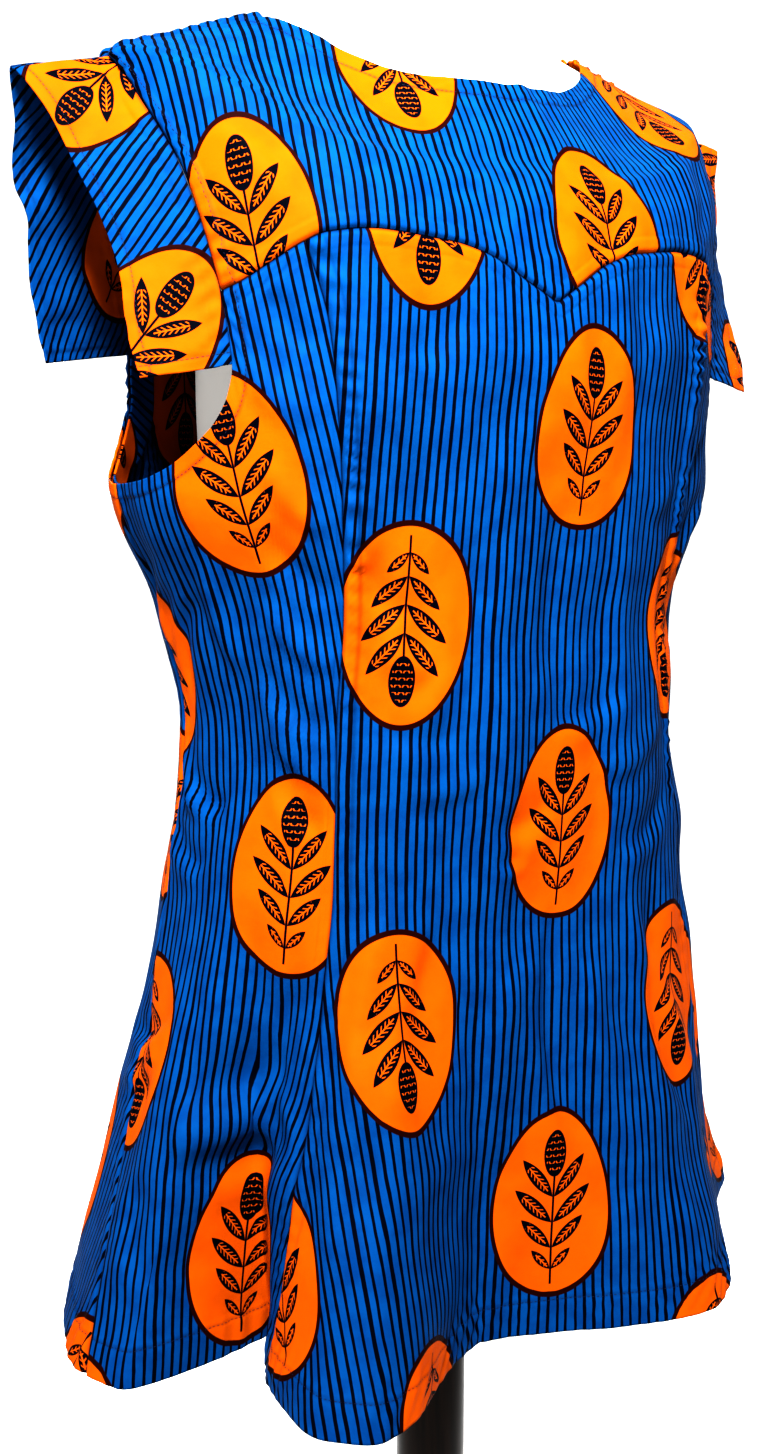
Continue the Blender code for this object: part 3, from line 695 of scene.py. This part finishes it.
def waxCloth(name):
    material, wire = newMaterial(name)
    spot = wire.node("ShaderNodeUVMap", uv_map="cut")
    across = wire.node("ShaderNodeSeparateXYZ", {0: spot}, output=0)
    along = wire.node("ShaderNodeSeparateXYZ", {0: spot}, output=1)
    soft, strength = waxPrint["softEdges"], waxPrint["strength"]

    def random(value, seed):
        point = wire.node("ShaderNodeCombineXYZ", {0: value, 1: seed})
        return wire.node("ShaderNodeTexWhiteNoise", {"Vector": point}, noise_dimensions="2D")

    wobble = spot.noise(22.0, 2.0) - 0.5
    lines = (across + wobble * waxPrint["wobble"]) / waxPrint["stripePitch"]
    number = lines.floor()
    shift = (random(number, 3.1) - 0.5) * waxPrint["stripePlace"]
    wide = random(number, 7.7)
    least, more, uneven = waxPrint["stripeHalf"]
    halfWide = least + wide * wide * more + (spot.noise(200.0, 1.0) - 0.5) * uneven
    edge = abs(lines.part() - 0.5 + shift) - halfWide
    stripe = edge.between(0.022, -0.022)

    column = (across / waxPrint["columnPitch"]).floor()
    odd = (column * 0.5).part() * 2.0
    x = ((across / waxPrint["columnPitch"]).part() - 0.5) * (waxPrint["columnPitch"] * 1000)
    y = ((along / waxPrint["rowPitch"] + odd * 0.5).part() - 0.5) * (waxPrint["rowPitch"] * 1000)
    y = y * (1 - odd * 2.0)
    halfX, halfY = (value * 1000 for value in waxPrint["ovalHalf"])
    egg = x * (1 + y * (waxPrint["eggShape"] / halfY)) / halfX
    level = y / halfY
    edgeWay = ((egg * egg + level * level).root() - 1) * halfX
    oval = edgeWay.between(soft["oval"], -soft["oval"])
    outline = (abs(edgeWay) - waxPrint["outlineHalf"]).between(soft["outline"], -soft["outline"])
    shape, veins = sprig(x, y)
    sprigMask = shape.between(soft["sprig"], -soft["sprig"]) * veins.between(-soft["veins"], soft["veins"])

    mottle = spot.noise(60.0, 3.0).between(0.35, 0.68)
    ground = mottle.mixed(waxPrint["blue"], waxPrint["blueDeep"])
    ground = (stripe * strength["stripe"]).mixed(ground, waxPrint["stripe"])
    warm = spot.noise(34.0, 3.0).between(0.38, 0.72)
    disc = (warm * strength["warm"]).mixed(waxPrint["orange"], waxPrint["orangeDeep"])
    disc = sprigMask.mixed(disc, waxPrint["stripe"])
    colour = oval.mixed(ground, disc)
    colour = outline.mixed(colour, waxPrint["outline"])
    # painted shade: the colour darkens along seam grooves and the furrows of turned edges
    seam = wire.node("ShaderNodeAttribute", output=2, attribute_name="seam")
    colour = (seam * strength["seam"]).mixed(colour, waxPrint["seam"])

    warp, weft = ((way * (2 * math.pi / waxPrint["threadPitch"])).wave() for way in (across, along))
    weave = warp * weft * 0.5 + spot.noise(900.0, 2.0) + spot.noise(75.0, 4.0) * 7.0
    finishMaterial(wire, {
        "Base Color": colour, "Roughness": 0.50 + spot.noise(45.0, 2.0) * 0.12,
        "Normal": weave.bump(*waxPrint["bump"]), "Specular IOR Level": waxPrint["specular"],
    })
    return material


def threadMaterial():
    material, wire = newMaterial("threadBlue")
    twist = wire.node("ShaderNodeTexCoord", output=3).noise(900.0, 2.0)
    colour = twist.mixed((0.0004, 0.001, 0.008, 1.0), (0.0005, 0.002, 0.020, 1.0))
    finishMaterial(wire, {"Base Color": colour, "Roughness": 0.55 + twist * 0.1, "Specular IOR Level": 0.15})
    return material


def jerseyMaterial():
    material, wire = newMaterial("jerseyWhite")
    spot = wire.node("ShaderNodeTexCoord", output=3)
    knit, cloud = spot.noise(1400.0, 2.0), spot.noise(14.0, 3.0)
    colour = cloud.mixed((0.38, 0.365, 0.34, 1.0), (0.33, 0.317, 0.295, 1.0))
    finishMaterial(wire, {"Base Color": colour, "Roughness": 0.70 + cloud * 0.12,
                          "Normal": knit.bump(0.3, 0.0002), "Sheen Weight": 0.15})
    return material


def lacquerMaterial():
    material, wire = newMaterial("lacquerDark")
    spot = wire.node("ShaderNodeTexCoord", output=3)
    long = wire.node("ShaderNodeMapping", {"Vector": spot, "Scale": (60.0, 60.0, 4.0)})
    grain, worn = long.noise(3.0, 6.0), spot.noise(120.0, 4.0)
    colour = grain.between(0.35, 0.75).mixed((0.003, 0.002, 0.0015, 1.0), (0.010, 0.005, 0.003, 1.0))
    finishMaterial(wire, {"Base Color": colour, "Roughness": 0.26 + worn * 0.16,
                          "Normal": grain.bump(0.1, 0.0003), "Specular IOR Level": 0.08,
                          "Coat Weight": 0.04, "Coat Roughness": 0.1})
    return material


waxMaterial = waxCloth("waxPrint")
thread = threadMaterial()
jersey = jerseyMaterial()
lacquer = lacquerMaterial()
print("materials made")

# Panels: steps of the coarse grid and how much finer the cut and the shape are worked out, and
# for each piece how its edges are finished, which of them are stitched, where its print starts
# (across and along in metres, turn in degrees) and its rows and columns
coarse = {"seam": 26, "yokeSide": 4, "centre": 24, "side": 12, "back": 16, "shoulder": 3}
finer = {"cut": 2, "shape": 4, "tightUp": 0.55, "tightOver": 0.62}
mirror = np.array([-1, 1])
stitchSpots = []


def refined(count, by):
    return count * by + 1


def halfEdges(bySeam, byAcross):
    # the shared seams of the left half, sampled for a coarse or a fine grid
    top = frontSeamRows[-1, 0]
    edges = {"frontSeam": seamRun(frontSeamRows, top, refined(coarse["seam"], bySeam))}
    yokeEnd = float(through(armholeRows, 1, armPlaces["yokeCorner"]))
    seamTop = edges["frontSeam"][-1, 0]
    edges["yokeSide"] = sweetheartRun(seamTop, yokeEnd, refined(coarse["yokeSide"], bySeam))
    long = refined(coarse["seam"] + coarse["yokeSide"], bySeam)
    edges["sideSeam"] = seamRun(sideSeamRows, sideSeamRows[-1, 0], long)
    edges["backSeam"] = seamRun(backSeamRows, backSeamRows[-1, 0], long)
    side = refined(coarse["side"], byAcross)
    edges["frontArm"] = armholeRun(armPlaces["yokeCorner"], armPlaces["underarm"], side)
    edges["backArm"] = armholeRun(armPlaces["underarm"], armPlaces["backCorner"], side)
    return edges


def frontCentreGrid(rows, columns):
    edges = halfEdges(rows, columns)
    seam = edges["frontSeam"]
    count = refined(coarse["centre"], columns)
    return patch(hemRun(-seam[0, 0], seam[0, 0], count),
                 sweetheartRun(-seam[-1, 0], seam[-1, 0], count), seam * mirror, seam)


def sideGrid(part, side, rows, columns):
    edges = halfEdges(rows, columns)
    if part == "front":
        first, last = joined(edges["frontSeam"], edges["yokeSide"]), edges["sideSeam"]
    else:
        first, last = edges["sideSeam"], edges["backSeam"]
    top, count = edges[part + "Arm"], refined(coarse["side"], columns)
    if side == "Left":
        return patch(hemRun(first[0, 0], last[0, 0], count), top, first, last)
    return patch(hemRun(-last[0, 0], -first[0, 0], count), (top * mirror)[::-1], last * mirror,
                 first * mirror)


def yokeGrid(rows, columns):
    # the yoke's rows follow the armhole, and its columns the sweetheart seam
    edges = halfEdges(1, 1)
    seamTop = edges["frontSeam"][-1, 0]
    yokeEnd = edges["yokeSide"][-1, 0]
    armSteps = armPlaces["yokeCorner"]
    side = joined(armholeRun(armSteps, 0, refined(armSteps, rows)),
                  shoulderRun(refined(coarse["shoulder"], rows)))
    outer = sweetheartRun(seamTop, yokeEnd, refined(coarse["yokeSide"], columns))
    middle = sweetheartRun(-seamTop, seamTop, refined(coarse["centre"], columns))
    bottom = joined((outer * mirror)[::-1], middle, outer)
    return patch(bottom, necklineRun(-90.0, 90.0, len(bottom)), side * mirror, side)


def backCentreGrid(rows, columns):
    edges = halfEdges(rows, columns)
    armSteps = armPlaces["loopEnd"] - armPlaces["backCorner"]
    arm = armholeRun(armPlaces["backCorner"], armPlaces["loopEnd"], refined(armSteps, rows))
    side = joined(edges["backSeam"], arm, shoulderRun(refined(coarse["shoulder"], rows)))
    count = refined(coarse["back"], columns)
    return patch(hemRun(side[0, 0], 360 - side[0, 0], count), necklineRun(90.0, 270.0, count),
                 side, side * mirror + [360, 0])


def stitchAlong(points, normals, edge, away, skip=0.002, pitch=0.0030):
    # spots of a row of stitches at one distance from an edge of the piece
    fields = edgeDistances(points)
    distance = fields[edge][0]
    lines = []
    across = edge in ("left", "right")
    count = points.shape[0] if across else points.shape[1]
    for index in range(count):
        way = distance[index] if across else distance[:, index]
        spots = points[index] if across else points[:, index]
        sides = normals[index] if across else normals[:, index]
        order = np.argsort(way)
        lines.append([np.interp(away, way[order], column[order]) for column in (*spots.T, *sides.T)])
    lines = np.array(lines)
    steps = np.linalg.norm(np.diff(lines[:, :3], axis=0), axis=1)
    walk = np.concatenate([[0], np.cumsum(steps)])
    at = np.arange(skip, walk[-1] - skip, pitch)
    spots = np.stack([np.interp(at, walk, lines[:, k]) for k in range(6)], axis=-1)
    ahead = np.stack([np.interp(at + pitch * 0.2, walk, lines[:, k]) for k in range(3)], axis=-1)
    stitchSpots.append((spots[:, :3], unit(ahead - spots[:, :3]), unit(spots[:, 3:])))


def makePanel(name, nodeName, slotName, gridOf, settings):
    up = densePlaces(settings["size"][0], finer["tightUp"])
    over = densePlaces(settings["size"][1], finer["tightOver"])
    cutGrid = gridOf(finer["cut"], finer["cut"])
    grid = resampled(gridOf(finer["shape"], finer["shape"]), up, over)
    base = cloth(grid[..., 0], grid[..., 1])
    normals = clothNormal(grid[..., 0], grid[..., 1])
    points = drawnIn(base, normals, dress["seamGap"] / 2)
    relief = creaseHeight(grid[..., 0], grid[..., 1]) + hangHeight(grid[..., 0], grid[..., 1])
    relief += edgeHeight(base, settings["edges"]) - settings.get("depth", 0.0)
    points = points + normals * relief[..., None]
    fine = resampled(flatten(cloth(cutGrid[..., 0], cutGrid[..., 1])), up, over)
    printed = turned(fine, math.radians(settings.get("turn", 0.0))) + settings["start"]
    piece = clothSheet(name, points, printed, paintedSeamShade(base, settings["edges"]), waxMaterial)
    finishPiece(piece, slotName, nodeName)
    shown = gridNormal(points)
    for edge in settings.get("stitches", ()):
        stitchAlong(points, shown, edge, edgeKinds[settings["edges"][edge]]["turn"])
    declareCut(piece, fine)


frontCentre = {
    "edges": {"left": "lapped", "right": "lapped", "bottom": "hem", "top": "seam"},
    "stitches": ("bottom",),
    "start": (0.030, 0.035),
    "size": (250, 160),
}
makePanel("frontCentre", "front_centre", "print_front_centre", frontCentreGrid, frontCentre)

# side panels: finish of the left and the right edge, start and turn of the print
sidePanels = {
    "edges": {"bottom": "hem", "top": "arm"},
    "stitches": ("bottom", "top"),
    "frontSize": (250, 84),
    "backSize": (230, 80),
    "frontRight": ("seam", "under", (0.043, 0.055), -1.0),
    "backRight": ("under", "seam", (0.070, 0.030), 3.0),
    "frontLeft": ("under", "seam", (0.020, 0.060), 3.0),
    "backLeft": ("seam", "under", (0.060, 0.090), -3.0),
}


def makeSidePanel(part, side):
    left, right, start, turn = sidePanels[part + side]
    settings = {"edges": {"left": left, "right": right, **sidePanels["edges"]}, "start": start,
                "turn": turn, "stitches": sidePanels["stitches"], "size": sidePanels[part + "Size"]}
    nodeName = f"{part}_side_{side.lower()}"
    makePanel(part + "Side" + side, nodeName, "print_" + nodeName,
              functools.partial(sideGrid, part, side), settings)


for side in ("Right", "Left"):
    makeSidePanel("front", side)
    makeSidePanel("back", side)

yoke = {
    "edges": {"left": "join", "right": "join", "bottom": "seam", "top": "neck"},
    "stitches": ("top", "left", "right"),
    "start": (0.012, 0.075),
    "size": (100, 200),
}
makePanel("frontYoke", "front_yoke", "print_yoke", yokeGrid, yoke)

backCentre = {
    "edges": {"left": "lapped", "right": "lapped", "bottom": "hem", "top": "neck"},
    "stitches": ("bottom", "top"),
    "start": (0.052, 0.120),
    "size": (290, 150),
}
makePanel("backCentre", "back_centre", "print_back_centre", backCentreGrid, backCentre)
print("panels made")

# Sleeves: a front and a back half sewn along the ridge over the shoulder. Their free edge on
# the left, from the front lower corner over the ridge to the back one: part of the way, x, y,
# height above the hem
sleeveRows = np.array([
    (0.0, 0.235, -0.063, 0.602), (0.08, 0.238, -0.053, 0.63), (0.17, 0.236, -0.042, 0.66),
    (0.27, 0.24, -0.028, 0.692), (0.36, 0.249, -0.014, 0.722), (0.44, 0.26, -0.001, 0.754),
    (0.5, 0.275, 0.017, 0.781), (0.56, 0.267, 0.034, 0.752), (0.66, 0.265, 0.044, 0.722),
    (0.75, 0.258, 0.04, 0.695), (0.83, 0.258, 0.042, 0.668), (0.92, 0.254, 0.04, 0.638),
    (1.0, 0.25, 0.038, 0.614),
])
sleeve = {
    "columns": 4,
    "frontSteps": 3,
    "size": (110, 44),
    "tight": (0.4, 0.5),
    "soft": 0.0016,
    "small": 0.0004,
    # start and turn of the print on each half
    "frontRight": ((0.085, 0.135), 58.0),
    "backRight": ((0.052, 0.030), -45.0),
    "frontLeft": ((0.020, 0.160), -58.0),
    "backLeft": ((0.070, 0.110), 45.0),
}


def sleeveHalf(half, steps):
    # half of the left sleeve: rows run along the armhole, columns out to the free edge
    places = armPlaces
    front = joined(
        armholeRun(places["sleeveFront"], places["yokeCorner"], refined(sleeve["frontSteps"], steps)),
        armholeRun(places["yokeCorner"], 0, refined(places["yokeCorner"], steps)))
    backSteps = places["loopEnd"] - places["sleeveBack"]
    back = armholeRun(places["loopEnd"], places["sleeveBack"], refined(backSteps, steps))
    line = joined(front, back)
    sewn = cloth(line[:, 0], line[:, 1])
    normals = clothNormal(line[:, 0], line[:, 1])
    sewn = sewn + np.cross(unit(np.gradient(sewn, axis=0)), normals) * dress["seamGap"] / 2
    way = np.concatenate([np.linspace(0, 0.5, len(front)), np.linspace(0.5, 1, len(back))[1:]])
    free = np.stack([through(sleeveRows, k, way) for k in (1, 2, 3)], axis=-1)
    free[:, 2] += dress["hemHeight"]
    u = np.linspace(0, 1, refined(sleeve["columns"], steps))[None, :, None]
    points = (1 - u) * sewn[:, None] + u * free[:, None]
    if half == "front":
        points = points[:len(front)]
        points[-1] += unit(points[-2] - points[-1]) * dress["seamGap"] / 2
    else:
        points = points[len(front) - 1:]
        points[0] += unit(points[1] - points[0]) * dress["seamGap"] / 2
    return points


def makeSleeve(half, side):
    name = "sleeve" + half.capitalize() + side
    start, turn = sleeve[half + side]
    up, over = (densePlaces(count, tight) for count, tight in zip(sleeve["size"], sleeve["tight"]))
    rough = sleeveHalf(half, 1)
    points = resampled(sleeveHalf(half, finer["shape"]), up, over)
    if side == "Right":
        rough, points = ((layer * [-1, 1, 1])[::-1] for layer in (rough, points))
    ends = ("top", "bottom") if (half == "front") == (side == "Left") else ("bottom", "top")
    edges = {"left": "head", "right": "open", ends[0]: "ridge", ends[1]: "open"}
    alongRow, acrossRow = np.meshgrid(up * 9, over * 4, indexing="ij")
    relief = edgeHeight(points, edges)
    relief += smoothNoise(alongRow, acrossRow * 0.6 + 3, 31) * sleeve["soft"] * ease(over, 0.05, 0.35)
    relief += smoothNoise(alongRow * 3, acrossRow * 2, 37) * sleeve["small"]
    points = points + gridNormal(points) * relief[..., None]
    fine = resampled(flatten(rough), up, over)
    printed = turned(fine, math.radians(turn)) + start
    piece = clothSheet(name, points, printed, paintedSeamShade(points, edges), waxMaterial)
    nodeName = f"sleeve_{half}_{side.lower()}"
    finishPiece(piece, "print_" + nodeName, nodeName)
    shown = gridNormal(points)
    for edge in ("right", ends[1]):
        stitchAlong(points, shown, edge, edgeKinds["open"]["turn"])
    declareCut(piece, fine)


for side in ("Right", "Left"):
    makeSleeve("front", side)
    makeSleeve("back", side)
print("sleeves made")

# Facings inside the lower armholes
facing = {
    "steps": 22,
    "width": 0.025,
    "radius": 0.2,
    "depth": 0.0027,
    "size": (9, 120),
    "start": {"Left": (0.080, 0.020), "Right": (0.030, 0.190)},
}


def facingGrid(side, rows, columns):
    steps = refined(facing["steps"], columns)
    edge = armholeRun(armPlaces["sleeveFront"], armPlaces["sleeveBack"], steps)
    scale = np.array([math.radians(1) * facing["radius"], 1])
    along = unit(np.gradient(edge * scale, axis=0))
    away = np.stack([along[:, 1], -along[:, 0]], axis=-1) * facing["width"]
    lower = (edge * scale + away) / scale
    v = np.linspace(0, 1, refined(2, rows))[:, None, None]
    grid = (1 - v) * lower[None] + v * edge[None]
    return grid if side == "Left" else (grid * mirror)[:, ::-1]


for side in ("Right", "Left"):
    settings = {"edges": {}, "size": facing["size"], "depth": facing["depth"],
                "start": facing["start"][side]}
    makePanel("armFacing" + side, "armhole_facing_" + side.lower(), "print_facing_" + side.lower(),
              functools.partial(facingGrid, side), settings)
print("facings made")

# Rows of stitches: one small spindle of thread each
stitch = {"length": 0.0022, "width": 0.00042, "height": 0.00030, "proud": 0.00008}


def makeStitches(name, slotName):
    rows = bmesh.new()
    size = Matrix.Diagonal((stitch["length"] / 2, stitch["width"] / 2, stitch["height"] / 2, 1))
    for spots, aheads, ups in stitchSpots:
        for spot, ahead, up in zip(spots, aheads, ups):
            side = np.cross(up, ahead)
            turn = Matrix((ahead, side, up)).transposed().to_4x4()
            where = Matrix.Translation(Vector(spot + up * stitch["proud"]))
            bmesh.ops.create_icosphere(rows, subdivisions=1, radius=1, matrix=where @ turn @ size)
    return finishPiece(meshObject(name, rows, thread), slotName)


makeStitches("topStitching", "print_front_centre")
print("stitches made:", sum(len(spots) for spots, _, _ in stitchSpots))

# The form, smooth and whole: same columns as the rings of the dress
formRows = [
    (0.15, 0.15, 0.15, 0.146, 0.116, 0.104, 2.3, 3.0, 0.0),
    (0.22, 0.22, 0.22, 0.158, 0.126, 0.116, 2.3, 3.0, 0.0),
    (0.3, 0.3, 0.3, 0.152, 0.126, 0.106, 2.3, 3.0, 0.0),
    (0.377, 0.377, 0.377, 0.14, 0.124, 0.094, 2.2, 3.0, 0.0),
    (0.46, 0.46, 0.46, 0.148, 0.13, 0.104, 2.05, 3.0, 0.0),
    (0.541, 0.541, 0.541, 0.158, 0.14, 0.118, 2.0, 3.0, 0.0),
    (0.605, 0.6, 0.6, 0.16, 0.145, 0.122, 2.05, 3.0, 0.0),
    (0.67, 0.65, 0.655, 0.16, 0.142, 0.117, 2.2, 3.0, 0.002),
    (0.73, 0.695, 0.705, 0.167, 0.136, 0.104, 2.3, 3.0, 0.006),
    (0.77, 0.722, 0.745, 0.176, 0.127, 0.091, 2.3, 4.5, 0.01),
    (0.791, 0.732, 0.771, 0.185, 0.121, 0.079, 2.2, 6.0, 0.011),
]
neckRows = [
    (0.83, 0.801, 0.816, 0.1, 0.07, 0.056, 1.9, 6.0, 0.005),
    (0.843, 0.823, 0.833, 0.08, 0.058, 0.051, 2.0, 4.0, 0.006),
    (0.86, 0.85, 0.855, 0.067, 0.052, 0.049, 2.0, 3.0, 0.007),
    (0.885, 0.882, 0.884, 0.06, 0.05, 0.048, 2.0, 3.0, 0.008),
    (0.925, 0.925, 0.925, 0.057, 0.05, 0.048, 2.0, 3.0, 0.008),
]
form = {
    "shoulderLevels": (0.802, 0.805, 0.809, 0.8135, 0.818, 0.823),
    "wall": 0.0015,
    "neckGap": 0.0012,
    "shoulderGap": 0.0044,
    "neckStep": 0.012,
    "sides": 120,
    "rows": 150,
    "edge": 0.004,
}


def makeForm():
    shoulders = [[float(through(ringRows, k, level)) for k in range(9)] for level in form["shoulderLevels"]]
    rows = np.array(formRows + [tuple(row) for row in shoulders] + neckRows)
    level = np.linspace(rows[0, 0], rows[-1, 0], form["rows"])
    angle = np.linspace(-np.pi, np.pi, form["sides"] + 1)
    level, angle = np.meshgrid(level, angle, indexing="ij")
    radius, back, height = ring(rows, angle, level)
    lower = np.clip((ringRows[-1, 0] - level) / form["neckStep"], 0, 1)
    inset = form["wall"] + form["neckGap"] + (form["shoulderGap"] - form["neckGap"]) * lower
    points = place(angle, radius - inset, back, height - inset)
    shape = bmesh.new()
    bmesh.ops.create_grid(shape, x_segments=form["sides"], y_segments=form["rows"] - 1, size=1)
    for vertex, point in zip(shape.verts, points.reshape(-1, 3)):
        vertex.co = point
    bmesh.ops.remove_doubles(shape, verts=shape.verts, dist=tooClose)
    rims = [edge for edge in shape.edges if edge.is_boundary]
    caps = bmesh.ops.holes_fill(shape, edges=rims)["faces"]
    bmesh.ops.recalc_face_normals(shape, faces=shape.faces)
    bmesh.ops.bevel(shape, geom=[edge for face in caps for edge in face.edges], offset=form["edge"],
                    affect="EDGES", segments=3, profile=0.5, material=-1)
    return finishPiece(meshObject("formBody", shape, jersey), "form_cover", "form_torso")


makeForm()
print("form made")

# Post and base, turned: rows of radius and height, bottom to top
stand = {
    "x": 0.012,
    "sides": 128,
    "sharp": 50,
    "pole": [(0.0245, 0.0453), (0.025, 0.0458), (0.025, 0.7637), (0.0245, 0.7642)],
    "base": [
        (0.189, 0.0), (0.19, 0.001), (0.19, 0.007), (0.1893, 0.0095), (0.1875, 0.0118), (0.184, 0.014),
        (0.1, 0.0163), (0.052, 0.0176), (0.0455, 0.0184), (0.0405, 0.0202), (0.0372, 0.0228),
        (0.036, 0.026), (0.036, 0.041), (0.0353, 0.0435), (0.033, 0.045),
    ],
}


def makeTurned(name, rows, slotName, nodeName):
    shape = bmesh.new()
    profile = [(0.0, rows[0][1])] + rows + [(0.0, rows[-1][1])]
    verts = [shape.verts.new((radius, 0, height)) for radius, height in profile]
    edges = [shape.edges.new(pair) for pair in zip(verts, verts[1:])]
    bmesh.ops.spin(shape, geom=verts + edges, axis=(0, 0, 1), steps=stand["sides"], angle=2 * math.pi,
                   use_merge=True)
    bmesh.ops.remove_doubles(shape, verts=shape.verts, dist=tooClose)
    bmesh.ops.translate(shape, verts=shape.verts, vec=(stand["x"], 0, 0))
    bmesh.ops.recalc_face_normals(shape, faces=shape.faces)
    thing = meshObject(name, shape, lacquer)
    thing.data.set_sharp_from_angle(angle=math.radians(stand["sharp"]))
    return finishPiece(thing, slotName, nodeName)


makeTurned("standPost", stand["pole"], "pole_gloss", "stand_pole")
makeTurned("standFoot", stand["base"], "base_gloss", "stand_base")
print("stand made")

# Floor, lights and camera
studio = {
    "floorHalf": 30.0,
    "floor": (0.82, 0.815, 0.80, 1.0),
    "sky": (1.0, 1.0, 1.0, 1.0),
    "skyStrength": 1.0,
    "lights": [
        # name, place, aim, width, height, watts, spread in degrees
        ("keyLight", (-0.8, -1.12, 2.55), (0.0, -0.03, 1.36), 0.4, 0.4, 41.0, 66.0),
        ("sideLight", (-2.4, 0.1, 1.3), (0.0, 0.0, 1.0), 0.7, 1.2, 9.0, 100.0),
        ("backLight", (1.1, 2.2, 1.3), (0.0, 0.0, 1.05), 1.2, 1.2, 40.0, 70.0),
    ],
}


def makeStudio():
    material, wire = newMaterial("floorPale")
    finishMaterial(wire, {"Base Color": studio["floor"], "Roughness": 0.9})
    shape = bmesh.new()
    bmesh.ops.create_grid(shape, x_segments=1, y_segments=1, size=studio["floorHalf"])
    meshObject("floor", shape, material)
    world = bpy.data.worlds.new("studio")
    bpy.context.scene.world = world
    world.use_nodes = True
    background = world.node_tree.nodes["Background"]
    background.inputs["Color"].default_value = studio["sky"]
    background.inputs["Strength"].default_value = studio["skyStrength"]
    for name, where, aim, width, height, watts, spread in studio["lights"]:
        data = bpy.data.lights.new(name, "AREA")
        data.shape = "RECTANGLE"
        data.size, data.size_y, data.energy = width, height, watts
        data.spread = math.radians(spread)
        lamp = linked(name, data)
        lamp.location = where
        lamp.rotation_euler = (Vector(aim) - Vector(where)).to_track_quat("-Z", "Y").to_euler()


camera = {
    "place": (-0.6654, -0.9866, 1.185),
    "tilt": 80.8,
    "turn": -32.72,
    "lens": 43.16,
    "sensor": 36.0,
}


def makeCamera():
    data = bpy.data.cameras.new("view")
    data.sensor_fit = "VERTICAL"
    data.sensor_height = camera["sensor"]
    data.lens = camera["lens"]
    thing = linked("view", data)
    thing.location = camera["place"]
    thing.rotation_euler = (math.radians(camera["tilt"]), 0, math.radians(camera["turn"]))
    bpy.context.scene.camera = thing


makeStudio()
makeCamera()
bpy.context.scene.view_settings.view_transform = "Standard"
bpy.context.scene.view_settings.look = "High Contrast"
print("studio made")
